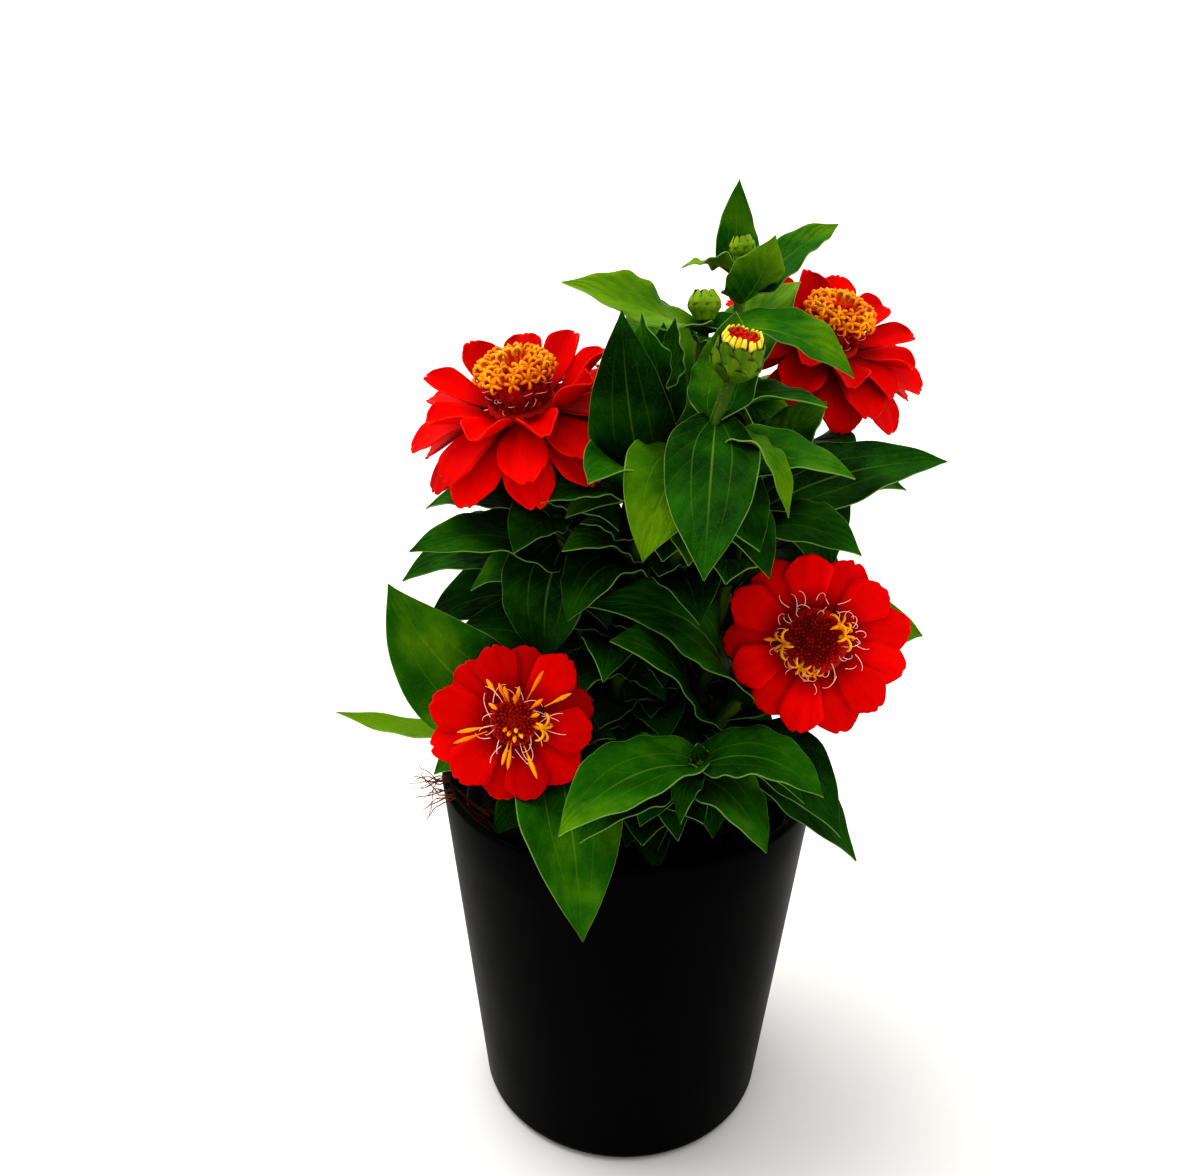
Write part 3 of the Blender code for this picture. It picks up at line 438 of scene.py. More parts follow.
def sheetShares(tree):
    # of a leaf, scale or petal: its map, the share along it, and the share out from its middle line
    uv = addNode(tree, "UVMap", {"uv_map": "UVMap"})
    parts = addNode(tree, "SeparateXYZ", links={0: uv})
    centred = addNode(tree, "Math", {"operation": "MULTIPLY_ADD", 1: 2.0, 2: -1.0}, {0: parts.outputs[1]})
    return uv, parts.outputs[0], addNode(tree, "Math", {"operation": "ABSOLUTE"}, {0: centred})


def dressShader(tree, shader, colour, relief, strength, depth):
    # a colour that a Mix node gives, and a relief whose depth is in metres
    tree.links.new(colour.outputs[2], shader.inputs["Base Color"])
    bump = addNode(tree, "Bump", {"Strength": strength, "Distance": depth}, {"Height": relief})
    tree.links.new(bump.outputs[0], shader.inputs["Normal"])


def makeLeafMaterial():
    # living leaf: deep saturated green, mottled with soft patches of painted light and painted shade, a thin pale rib
    # and two long side veins, a faint net, and a pale edge line
    material, tree, shader = newMaterial("zinnia leaf blade", {
        "Roughness": 0.46, "IOR": 1.42, "Specular IOR Level": 0.06, "Subsurface Weight": 0.06,
        "Subsurface Radius": (0.0006, 0.0014, 0.0002), "Subsurface Scale": 1.0,
    })
    uv, along, side = sheetShares(tree)
    rib = addNode(tree, "MapRange", {1: 0.01, 2: 0.042, 3: 1.0, 4: 0.0}, {0: side})
    fromVein = addNode(tree, "Math", {"operation": "SUBTRACT", 1: 0.42}, {0: side})
    veinGap = addNode(tree, "Math", {"operation": "ABSOLUTE"}, {0: fromVein})
    vein = addNode(tree, "MapRange", {1: 0.004, 2: 0.026, 3: 0.6, 4: 0.0}, {0: veinGap})
    fade = addNode(tree, "MapRange", {1: 0.0, 2: 0.85, 3: 1.0, 4: 0.15}, {0: along})
    # seven pairs of cross veins slant towards the tip
    alongTurns = addNode(tree, "Math", {"operation": "MULTIPLY", 1: 46.0}, {0: along})
    slant = addNode(tree, "Math", {"operation": "MULTIPLY_ADD", 1: -17.0}, {0: side, 2: alongTurns})
    wave = addNode(tree, "Math", {"operation": "SINE"}, {0: slant})
    crossVein = addNode(tree, "MapRange", {1: 0.975, 2: 1.0, 3: 0.0, 4: 0.26}, {0: wave})
    place = {"Vector": addNode(tree, "TexCoord").outputs["Object"]}
    # net veins 2.5 mm apart, soft patches of painted light and shade of about 17 mm, a speckle of 0.6 mm
    net = addNode(tree, "TexVoronoi", {"feature": "DISTANCE_TO_EDGE", "Scale": 400.0}, place)
    netLine = addNode(tree, "MapRange", {1: 0.0, 2: 0.05, 3: 0.07, 4: 0.0}, {0: net})
    veins = addNode(tree, "Math", {"operation": "MAXIMUM"}, {0: rib, 1: vein})
    veins = addNode(tree, "Math", {"operation": "MAXIMUM"}, {0: veins, 1: crossVein})
    veins = addNode(tree, "Math", {"operation": "MULTIPLY"}, {0: veins, 1: fade})
    veins = addNode(tree, "Math", {"operation": "MAXIMUM"}, {0: veins, 1: netLine})
    paintedLightPatches = addNode(tree, "TexNoise", {"Scale": 60.0, "Detail": 3.0}, place)
    speckle = addNode(tree, "TexNoise", {"Scale": 1600.0, "Detail": 2.0}, place)
    tint = addNode(tree, "Attribute", {"attribute_name": "tint"}).outputs["Fac"]
    # each leaf's own tint, mottled with patches of painted light and shade, and painted lighter towards the tip with
    # painted shade at the foot
    blend = addNode(tree, "Math", {"operation": "MULTIPLY_ADD", 1: 1.25}, {0: paintedLightPatches, 2: tint})
    blend = addNode(tree, "Math", {"operation": "MULTIPLY_ADD", 1: 0.36}, {0: along, 2: blend})
    level = addNode(tree, "MapRange", {1: 0.76, 2: 1.68}, {0: blend})
    lower = addNode(tree, "MapRange", {1: 0.0, 2: 0.5}, {0: level})
    upper = addNode(tree, "MapRange", {1: 0.5, 2: 1.0}, {0: level})
    green = addNode(tree, "Mix", {"data_type": "RGBA", 6: srgb("#042a01"), 7: srgb("#265f04")}, {0: lower})
    green = addNode(tree, "Mix", {"data_type": "RGBA", 7: srgb("#668a08")}, {0: upper, 6: green.outputs[2]})
    speckled = addNode(tree, "MapRange", {1: 0.58, 2: 0.8, 3: 0.0, 4: 0.2}, {0: speckle})
    green = addNode(tree, "Mix", {"data_type": "RGBA", 7: srgb("#5f8a18")}, {0: speckled, 6: green.outputs[2]})
    veinShare = addNode(tree, "Math", {"operation": "MULTIPLY", 1: 0.6}, {0: veins})
    veined = addNode(tree, "Mix", {"data_type": "RGBA", 7: srgb("#83a636")}, {0: veinShare, 6: green.outputs[2]})
    rim = addNode(tree, "MapRange", {1: 0.98, 2: 0.997, 3: 0.0, 4: 0.5}, {0: side})
    rimmed = addNode(tree, "Mix", {"data_type": "RGBA", 7: srgb("#9dba6c")}, {0: rim, 6: veined.outputs[2]})
    relief = addNode(tree, "Math", {"operation": "MULTIPLY_ADD", 1: -1.6}, {0: veins, 2: speckle})
    relief = addNode(tree, "Math", {"operation": "MULTIPLY_ADD", 1: 0.3}, {0: net, 2: relief})
    # the blade swells softly between its cross veins
    swell = addNode(tree, "Math", {"operation": "MULTIPLY_ADD", 1: -0.35}, {0: wave, 2: relief})
    swell = addNode(tree, "Math", {"operation": "MULTIPLY_ADD", 1: 1.2}, {0: paintedLightPatches, 2: swell})
    dressShader(tree, shader, rimmed, swell, 0.5, 0.0006)
    return material


def makeGreenMaterial(name, darkHex, lightHex, rimHex):
    # fleshy green tissue with streaks 1 mm wide and 11 mm long, and dark rims where scales overlap
    material, tree, shader = newMaterial(name, {
        "Roughness": 0.5, "IOR": 1.42, "Specular IOR Level": 0.12, "Subsurface Weight": 0.08,
        "Subsurface Radius": (0.0006, 0.0012, 0.0003), "Subsurface Scale": 1.0,
    })
    place = addNode(tree, "TexCoord").outputs["Object"]
    squeeze = addNode(tree, "Mapping", {"Scale": (900.0, 900.0, 90.0)}, {"Vector": place})
    streaks = addNode(tree, "TexNoise", {"Scale": 1.0, "Detail": 3.0}, {"Vector": squeeze})
    tint = addNode(tree, "Attribute", {"attribute_name": "tint"}).outputs["Fac"]
    level = addNode(tree, "Math", {"operation": "MULTIPLY_ADD", 1: 0.6, "use_clamp": True}, {0: streaks, 2: tint})
    green = addNode(tree, "Mix", {"data_type": "RGBA", 6: srgb(darkHex), 7: srgb(lightHex)}, {0: level})
    uv, along, side = sheetShares(tree)
    edge = addNode(tree, "Math", {"operation": "MAXIMUM"}, {0: side, 1: along})
    rim = addNode(tree, "MapRange", {1: 0.9, 2: 0.985, 3: 0.0, 4: 0.85}, {0: edge})
    rimmed = addNode(tree, "Mix", {"data_type": "RGBA", 7: srgb(rimHex)}, {0: rim, 6: green.outputs[2]})
    dressShader(tree, shader, rimmed, streaks, 0.4, 0.0002)
    return material


def makePetalMaterial():
    # velvety ray petal: saturated scarlet with fine lengthwise ribs, 34 over its width and so about half a
    # millimetre apart, painted shade that deepens the red towards the claw, a paler thin rim
    material, tree, shader = newMaterial("zinnia ray petal", {
        "Roughness": 0.55, "IOR": 1.4, "Specular IOR Level": 0.06, "Subsurface Weight": 0.1,
        "Subsurface Radius": (0.0015, 0.0003, 0.0002), "Subsurface Scale": 1.0,
    })
    uv, along, side = sheetShares(tree)
    stretched = addNode(tree, "Mapping", {"Scale": (2.0, 34.0, 1.0)}, {"Vector": uv})
    ribs = addNode(tree, "TexNoise", {"Scale": 1.0, "Detail": 3.0, "Roughness": 0.6}, {"Vector": stretched})
    tint = addNode(tree, "Attribute", {"attribute_name": "tint"}).outputs["Fac"]
    level = addNode(tree, "Math", {"operation": "MULTIPLY_ADD", 1: 0.6}, {0: ribs, 2: tint})
    level = addNode(tree, "MapRange", {1: 0.2, 2: 1.2}, {0: level})
    red = addNode(tree, "Mix", {"data_type": "RGBA", 6: srgb("#a80000"), 7: srgb("#ee0600")}, {0: level})
    # painted shade: the red darkens over the inner part of the petal towards its claw, where the petals crowd round
    # the disc
    claw = addNode(tree, "MapRange", {1: 0.0, 2: 0.45, 3: 0.75, 4: 0.0}, {0: along})
    deep = addNode(tree, "Mix", {"data_type": "RGBA", 7: srgb("#5c0000")}, {0: claw, 6: red.outputs[2]})
    edge = addNode(tree, "Math", {"operation": "MAXIMUM"}, {0: side, 1: along})
    rim = addNode(tree, "MapRange", {1: 0.965, 2: 1.0, 3: 0.0, 4: 0.5}, {0: edge})
    rimmed = addNode(tree, "Mix", {"data_type": "RGBA", 7: srgb("#e23a26")}, {0: rim, 6: deep.outputs[2]})
    dressShader(tree, shader, rimmed, ribs, 0.4, 0.0003)
    return material


def makeFloretMaterial(name, darkHex, lightHex, roughness):
    # small fleshy flower parts, each a shade of its own by its tint, with a mottle of about 1 mm
    material, tree, shader = newMaterial(name, {
        "Roughness": roughness, "IOR": 1.42, "Specular IOR Level": 0.2, "Subsurface Weight": 0.12,
        "Subsurface Radius": (0.001, 0.0005, 0.0002), "Subsurface Scale": 1.0,
    })
    place = addNode(tree, "TexCoord").outputs["Object"]
    mottle = addNode(tree, "TexNoise", {"Scale": 900.0, "Detail": 2.0}, {"Vector": place})
    tint = addNode(tree, "Attribute", {"attribute_name": "tint"}).outputs["Fac"]
    level = addNode(tree, "Math", {"operation": "MULTIPLY_ADD", 1: 0.35, "use_clamp": True}, {0: mottle, 2: tint})
    shade = addNode(tree, "Mix", {"data_type": "RGBA", 6: srgb(darkHex), 7: srgb(lightHex)}, {0: level})
    dressShader(tree, shader, shade, mottle, 0.3, 0.0002)
    return material


def makeGlazeMaterial():
    # black satin glaze on moulded earthenware: even and nearly black, with a soft wide sheen towards its
    # sides, slow clouds of 40 mm in its gloss and an orange peel of 2 mm
    material, tree, shader = newMaterial("black satin glaze", {
        "Base Color": srgb("#020202"), "IOR": 1.45, "Specular IOR Level": 0.04,
    })
    place = {"Vector": addNode(tree, "TexCoord").outputs["Object"]}
    cloud = addNode(tree, "TexNoise", {"Scale": 25.0, "Detail": 4.0}, place)
    dull = addNode(tree, "MapRange", {1: 0.3, 2: 0.7, 3: 0.36, 4: 0.44}, {0: cloud})
    tree.links.new(dull.outputs[0], shader.inputs["Roughness"])
    peel = addNode(tree, "TexNoise", {"Scale": 500.0, "Detail": 2.0}, place)
    bump = addNode(tree, "Bump", {"Strength": 0.12, "Distance": 0.0001}, {"Height": peel})
    tree.links.new(bump.outputs[0], shader.inputs["Normal"])
    return material


def makePlasticMaterial():
    # thin thermoformed polypropylene: dull black, with patches of peat dust of about 8 mm
    material, tree, shader = newMaterial("black polypropylene", {"IOR": 1.49, "Roughness": 0.5})
    place = addNode(tree, "TexCoord").outputs["Object"]
    dust = addNode(tree, "TexNoise", {"Scale": 120.0, "Detail": 6.0}, {"Vector": place})
    amount = addNode(tree, "MapRange", {1: 0.5, 2: 0.75, 3: 0.0, 4: 0.5}, {0: dust})
    colour = addNode(tree, "Mix", {"data_type": "RGBA", 6: srgb("#0e0e0e"), 7: srgb("#2c2218")}, {0: amount})
    dressShader(tree, shader, colour, dust, 0.2, 0.0002)
    return material


def makePeatMaterial(name, darkHex, lightHex):
    # peat, or the dry roots in it: near black crumbs of 1.4 mm with brown fibre ends, no gloss
    material, tree, shader = newMaterial(name, {"Roughness": 0.92, "Specular IOR Level": 0.2})
    place = addNode(tree, "TexCoord").outputs["Object"]
    grain = addNode(tree, "TexNoise", {"Scale": 700.0, "Detail": 5.0, "Roughness": 0.7}, {"Vector": place})
    tint = addNode(tree, "Attribute", {"attribute_name": "tint"}).outputs["Fac"]
    level = addNode(tree, "Math", {"operation": "MULTIPLY"}, {0: grain, 1: tint})
    colour = addNode(tree, "Mix", {"data_type": "RGBA", 6: srgb(darkHex), 7: srgb(lightHex)}, {0: level})
    dressShader(tree, shader, colour, grain, 0.8, 0.0008)
    return material


leafMaterial = makeLeafMaterial()
stalkMaterial = makeGreenMaterial("zinnia stalk", "#244a0e", "#5f7d2a", "#3c5a1c")
bractMaterial = makeGreenMaterial("zinnia bract", "#264a05", "#7f9c1b", "#171204")
petalMaterial = makePetalMaterial()
floretMaterial = makeFloretMaterial("open star floret", "#de7604", "#fab21c", 0.45)
discMaterial = makeFloretMaterial("closed disc floret", "#4a0200", "#c82006", 0.6)
crownMaterial = makeFloretMaterial("young ray tip", "#c9b11c", "#f4e257", 0.5)
styleMaterial = makeFloretMaterial("curly style", "#ec9c86", "#ffece0", 0.5)
glazeMaterial = makeGlazeMaterial()
plasticMaterial = makePlasticMaterial()
peatMaterial = makePeatMaterial("moist peat", "#050302", "#3a2717")
fibreMaterial = makePeatMaterial("dry root fibre", "#1e0d08", "#a85a42")
hairMaterial = makeFloretMaterial("white plant hair", "#8fa070", "#c8d4a8", 0.6)
print("materials made")


# cover pot: one turned wall with a soft rim and foot
coverPotLook = {
    "height": 132, "rimRadius": 65.5, "footRadius": 52, "wall": 3.6, "floor": 5, "corner": 4.5,
    "hollow": 1.6, "roundSteps": 8, "wallSteps": 7, "steps": 128,
}


def buildCoverPot():
    look = coverPotLook
    foot, wall, floor, corner = look["footRadius"], look["wall"], look["floor"], look["corner"]
    slope, lip = (look["rimRadius"] - foot) / look["height"], wall / 2
    lipLevel, turns = look["height"] - lip, look["roundSteps"]
    outline = [(0, look["hollow"]), (foot - 9, look["hollow"]), (foot - 8, 0.2), (foot - 6, 0)]
    for i in range(turns + 1):
        angle = math.pi / 2 * i / turns
        outline.append((foot + slope * corner - corner * (1 - math.sin(angle)), corner * (1 - math.cos(angle))))
    for i in range(1, look["wallSteps"]):
        z = corner + (lipLevel - corner) * i / look["wallSteps"]
        outline.append((foot + slope * z, z))
    for i in range(turns + 1):
        angle = math.pi * i / turns
        outline.append((foot + slope * lipLevel - lip + lip * math.cos(angle), lipLevel + lip * math.sin(angle)))
    # inside, the wall meets the floor in a slanted corner
    outline += [(foot + slope * 10 - wall, floor + 5), (foot + slope * 5 - wall - 4, floor), (0, floor)]
    finishPiece(spunShape("coverPotGlazed", outline, look["steps"], glazeMaterial), "cover_pot")


# grower's pot: thin thermoformed cup with a turned-out rim
growPotLook = {
    "foot": 5.3, "height": 115, "rimRadius": 57.5, "footRadius": 42, "wall": 0.9, "lip": 1.6, "lipDepth": 6,
    "steps": 96,
}


def buildGrowPot():
    look = growPotLook
    low, foot, rim, wall, lip = (look[key] for key in ("foot", "footRadius", "rimRadius", "wall", "lip"))
    top = low + look["height"]
    under = top - look["lipDepth"]
    outline = [
        (0, low + 1.0), (30, low + 1.0), (33, low), (foot, low), (foot + 0.6, low + 1.5),
        (rim - lip - 0.4, under), (rim - 0.6, under - 0.2), (rim, under + 0.4), (rim, top - 0.5), (rim - 0.4, top),
        (rim - wall, top - 0.2), (rim - wall - 0.4, under + 1.2), (rim - lip - wall - 0.4, under - 0.2),
        (foot - wall, low + 2), (0, low + 2),
    ]
    finishPiece(spunShape("growPotMoulded", outline, look["steps"], plasticMaterial), "grow_pot")


# potting mix: a crumbly top with loose crumbs and fibres over the solid's own heap
mixLook = {
    "seed": 11, "radius": 53.2, "edge": 112, "crown": 115, "rings": 40, "spokes": 96, "relief": 0.9,
    "crumbs": 1100, "crumbRadius": (0.35, 1.5), "fibres": 70, "fibreRadius": (0.12, 0.25), "fibreTint": 0.3,
}


def mixHeight(x, y):
    # the solid's own top: a low heap with slow bumps
    crumbs = math.sin(x * 0.31 + 1.0) * math.cos(y * 0.27) + 0.6 * math.sin(x * 0.17 - y * 0.38)
    return 114.0 + 3.0 * (1 - (math.hypot(x, y) / 54.0) ** 2) + 0.96 * crumbs


def buildMix():
    look = mixLook
    rng = random.Random(look["seed"])
    low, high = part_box("potting_mix")
    radius, rings, crown = look["radius"], look["rings"], look["crown"]
    outline = [(0, low.z / mm), (40, low.z / mm), (radius, look["edge"])]
    outline += [(radius * (1 - i / rings), crown) for i in range(1, rings)] + [(0, crown)]
    mix = spunShape("pottingMixTop", outline, look["spokes"], peatMaterial)
    for v in mix.data.vertices:
        if v.co.z > (crown - 1.5) * mm:
            x, y = v.co.x / mm, v.co.y / mm
            fine = math.sin(x * 1.9 + 2 * math.sin(y * 0.8)) * math.sin(y * 2.2 + 1.5 * math.sin(x * 1.1))
            v.co.z = (mixHeight(x, y) + look["relief"] * fine * rng.uniform(0.3, 1)) * mm
    deselect()
    bpy.ops.mesh.primitive_ico_sphere_add(subdivisions=1, radius=mm)
    crumb = bpy.context.object
    crumb.data.materials.append(peatMaterial)
    places, tints = [], []
    for i in range(look["crumbs"]):
        reach = radius * math.sqrt(rng.random()) * 0.97
        spot = outwardOf(rng.uniform(0, 360)) * reach
        size = rng.uniform(*look["crumbRadius"]) * rng.uniform(0.6, 1.0)
        spin = Matrix.Rotation(rng.uniform(0, 6.28), 4, Vector((rng.random(), rng.random(), 1)).normalized())
        stretch = Matrix.Diagonal((size * rng.uniform(0.7, 1.4), size * rng.uniform(0.7, 1.2), size * 0.8, 1))
        spot.z = mixHeight(spot.x, spot.y) + size * 0.35
        places.append(Matrix.Translation(spot * mm) @ spin @ stretch)
        tints.append(rng.uniform(0.2, 1.6))
    crumbs = copiesOf("crumbs", crumb, places, tints)
    lines = []
    for i in range(look["fibres"]):
        spot = outwardOf(rng.uniform(0, 360)) * radius * math.sqrt(rng.random()) * 0.9
        heading, line = rng.uniform(0, 360), []
        for k in range(6):
            level = mixHeight(spot.x, spot.y) + 0.7 + rng.uniform(0, 1.2)
            line.append((Vector((spot.x, spot.y, level)), rng.uniform(*look["fibreRadius"])))
            heading += rng.uniform(-35, 35)
            spot = spot + outwardOf(heading) * rng.uniform(0.8, 2.4)
            if spot.length > radius - 1:
                break
        if len(line) > 2:
            lines.append(line)
    fibres = sweptLines("fibres", lines, fibreMaterial)
    setTint(fibres, look["fibreTint"])
    finishPiece(joinPieces("pottingMixCrumbly", [mix, crumbs, fibres]), "potting_mix")


# dry root fibres that hang out over the left of the rim
fibreLook = {
    "seed": 5, "strands": 16, "azimuth": (192, 206), "length": (7, 26), "thickness": (0.12, 0.3), "tint": 1.3,
    "overRims": ((49, 115), (55.5, 121.5), (61.5, 129)), "clear": 66.5,
}


def buildFibres():
    look = fibreLook
    rng = random.Random(look["seed"])
    lines = []
    for k in range(look["strands"]):
        turn, thick = rng.uniform(*look["azimuth"]), rng.uniform(*look["thickness"])
        out = outwardOf(turn)
        # from the mix, up over both rims, then loosely out and down
        line = [(out * reach + up * z, thick) for reach, z in look["overRims"]]
        line.append((out * 63.8 + up * (132.2 + thick), thick))
        point = out * 66.4 + up * rng.uniform(131.6, 133.2)
        heading = (out * 0.5 + Vector((-0.8, rng.uniform(-0.3, 0.3), rng.uniform(-0.5, 0.4)))).normalized()
        steps = rng.randrange(5, 12)
        stride = rng.uniform(*look["length"]) / steps
        for i in range(steps):
            line.append((point.copy(), thick * (1 - 0.6 * i / steps)))
            bend = Vector((rng.uniform(-1, 1), rng.uniform(-1, 1), rng.uniform(-1, 1))) * 0.55
            heading = (heading + bend - up * 0.08).normalized()
            point = point + heading * stride
            away = point.xy.length
            if away < look["clear"]:
                point = point + out * (look["clear"] + 0.5 - away)
        lines.append(line)
    fibres = sweptLines("dryRootFibres", lines, fibreMaterial)
    setTint(fibres, look["tint"])
    finishPiece(fibres)


buildCoverPot()
buildGrowPot()
buildMix()
buildFibres()
print("pots and mix made")


# leafy stems
leafLook = {
    "thickness": 0.4, "along": 30, "across": 12, "cup": 0.22, "wave": 1.9, "ruffle": 0.65, "clasp": 0.55,
    "footShare": 0.2, "furrow": 0.35, "found": 0.03,
    # lowShade, highShade and the heights shadeFrom to shadeTo paint shade low in the plant and light at its top
    "lowShade": -0.02, "highShade": 0.74, "shadeSpread": 0.22, "shadeFrom": 170, "shadeTo": 300,
}
# leaves that the photograph shows a little otherwise than the solids lay them, counted in the order in which
# they grow on each stem: (azimuth, reach, rise, bow, half width, roll)
shownLeaves = {
    "opening_bud": {
        0: (263, 45, -30, 4, 12.6, 0), 2: (242, 38, -20, 9, 14, -30), 4: (286, 28, -4, 8, 11.5, 0),
        7: (262, 38, 16, 9, 12.5, -10),
    },
    "young_shoot": {8: (262, 40, 16, 11, 11.4, -8)},
    "round_bud": {0: (207, 45, 16, 1, 11.6, -34), 1: (340, 46, -10, 7, 10.5, 24)},
    "right_back_bloom": {1: (284, 48, -15, 10, 16, 0), 4: (312, 44, 10, 9, 14, 20)},
    "right_shoot": {6: (310, 47, 10, 8, 11.7, 25)},
    "right_low_bloom": {
        0: (197, 50, 40, 14, 15, -36), 1: (228, 48, 52, 10, 13.5, -46), 4: (16, 51, 3, 8, 15, 40),
    },
    "left_low_bloom": {
        0: (160, 50, 42, -7, 17, -56), 1: (282, 52, -36, 10, 16, 0), 3: (164, 80, 1, -2, 7.5, -4),
    },
    "front_shoot": {3: (95, 4, 6, 0, 3, 0)},
}
# and leaves painted paler where light falls on them, and darker where they lie in shade, than their height would have
# them: painted light and painted shade
leafPaintedLightAndShade = {
    "opening_bud": {0: 0.18, 1: 0.5, 2: 0.62, 3: 0.7, 4: -0.05, 7: -0.05},
    "young_shoot": {0: 0.25, 1: 0.25, 2: 0.02, 3: 0.2, 4: -0.05, 8: -0.05},
    "round_bud": {0: 0.7, 1: 0.5},
    "small_bud": {0: 0.5, 1: 0.62, 2: 0.3},
    "right_shoot": {2: 0.02},
    "right_low_bloom": {0: 0.16, 1: 0.12, 4: 0.6},
    "left_low_bloom": {0: 0.48, 1: 0.32, 3: 0.95},
    "front_shoot": {0: 0.42, 1: 0.3, 4: 0.24},
}
stalkLook = {
    "footRadius": 2.5, "neckRadius": 1.8, "steps": 6, "hairs": 260, "hairLength": 1.1, "hairRadius": 0.07,
}


def leafProfile(share):
    return (0.4 + 2.4 * share) * (1 - share) ** 1.1 / 0.78


def leafSpine(leaf, share):
    base, azimuth, reach, rise, bow, halfWidth, roll, swing = leaf[:8]
    outward = outwardOf(azimuth)
    side = up.cross(outward)
    chord = math.hypot(reach, rise)
    along = (outward * reach + up * rise) / chord
    lift = (up * reach - outward * rise) / chord
    point = base + along * chord * share + lift * bow * 4 * share * (1 - share) + side * swing * share ** 2
    tangent = (along * chord + lift * bow * 4 * (1 - 2 * share) + side * 2 * swing * share).normalized()
    side = (side - tangent * side.dot(tangent)).normalized()
    normal = tangent.cross(side)
    angle = math.radians(roll) * min(1.0, share / 0.4)
    return point, side * math.cos(angle) + normal * math.sin(angle), normal * math.cos(angle) - side * math.sin(angle)


def ruleLeaves(stem):
    count, first = stem["pairs"]
    leaves = []
    for k in range(count):
        step = k / max(1, count - 1)
        share = growth["firstShare"] + (growth["lastShare"] - growth["firstShare"]) * step
        size = 1.05 - 0.3 * abs(step - 0.4)
        for azimuth in (first + 90 * k, first + 90 * k + 180):
            leaves.append((
                share, azimuth, growth["reach"] * size, -16 + 34 * step, 11 - 3 * step, growth["halfWidth"] * size,
                growth["roll"] * math.cos(math.radians(azimuth)), 0,
            ))
    return leaves


def grownLeaves():
    # a leaf may have bent to clear its neighbours: the bend is the one whose tip the solid has
    rng = random.Random(growth["seed"])
    bends = sorted(
        ((turn, lift, scale) for scale in growth["scales"] for turn in growth["turns"] for lift in growth["lifts"]),
        key=lambda b: abs(b[0]) + abs(b[1]) + (1 - b[2]) * 60,
    )
    curves, tips, grown = {}, {}, {}
    for name, stem in stems.items():
        curves[name], grown[name] = stemCurve(stem, 2), []
        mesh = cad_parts["stem_" + name].data
        tips[name] = KDTree(len(mesh.vertices))
        for i, v in enumerate(mesh.vertices):
            tips[name].insert(v.co / mm, i)
        tips[name].balance()
    for listed in (lambda stem: stem.get("leaves", ()), lambda stem: stem.get("inner", ()), ruleLeaves):
        for name, stem in stems.items():
            for share, azimuth, reach, rise, bow, halfWidth, roll, swing in listed(stem):
                base = pointAlong(curves[name], share)
                cup = leafLook["cup"] + rng.uniform(-0.12, 0.12)
                wave = leafLook["wave"] * rng.uniform(0.6, 1.3)
                phase = rng.uniform(0, 1)
                azimuth += rng.uniform(-12, 12) * (listed is ruleLeaves)
                for turn, lift, scale in bends:
                    leaf = (base, azimuth + turn, reach * scale, rise + lift, bow, halfWidth * (0.4 + 0.6 * scale),
                            roll, swing, cup, wave, phase)
                    if tips[name].find(leafSpine(leaf, 1.0)[0])[2] < leafLook["found"]:
                        shown = shownLeaves.get(name, {}).get(len(grown[name]))
                        if shown:
                            leaf = (base, *shown, swing, cup, wave, phase)
                        grown[name].append(leaf)
                        break
    return grown


def leafPlace(leaf):
    halfWidth, (cup, wave, phase) = leaf[5], leaf[8:]

    def place(s, t):
        point, side, normal = leafSpine(leaf, s)
        edge = abs(t)
        profile = leafProfile(min(s, 0.999))
        clasp = max(0.0, 1 - s / leafLook["footShare"])
        # a broad foot that clasps the stalk
        profile *= 1 - (1 - leafLook["clasp"]) * clasp ** 2
        profile *= 1 + 0.035 * math.sin(math.tau * (2.3 * s + phase)) * (1 - s)
        width = halfWidth * max(profile, 0.012)
        turned = 0.0 if t > 0 else 0.4
        lift = (cup + 0.7 * clasp ** 1.5) * width * edge ** 1.5
        lift += wave * math.sin(math.tau * (1.25 * s + phase + turned)) * profile * edge ** 1.7
        lift += leafLook["ruffle"] * math.sin(math.tau * (4.6 * s + 3 * phase + turned)) * profile * edge ** 3
        lift -= leafLook["furrow"] * (1 - edge) ** 6 * profile  # where the rib lies
        return point + side * width * t + normal * lift

    return place


def leafPiece(leaf, rng, fineness, shade=None):
    # leaves are painted deep green low down, as painted shade deep in the plant, and lighter towards the top, as
    # painted light; the young top leaves are also fresher green
    low, high = leafLook["shadeFrom"], leafLook["shadeTo"]
    height = min(1.0, max(0.0, (leafSpine(leaf, 0.5)[0].z - low) / (high - low)))
    tint = leafLook["lowShade"] + rng.uniform(0.0, leafLook["shadeSpread"]) + leafLook["highShade"] * height ** 2.5
    return gridSheet("leaf", fineness["along"], fineness["across"], leafLook["thickness"], leafPlace(leaf),
                     leafMaterial, tint if shade is None else shade)


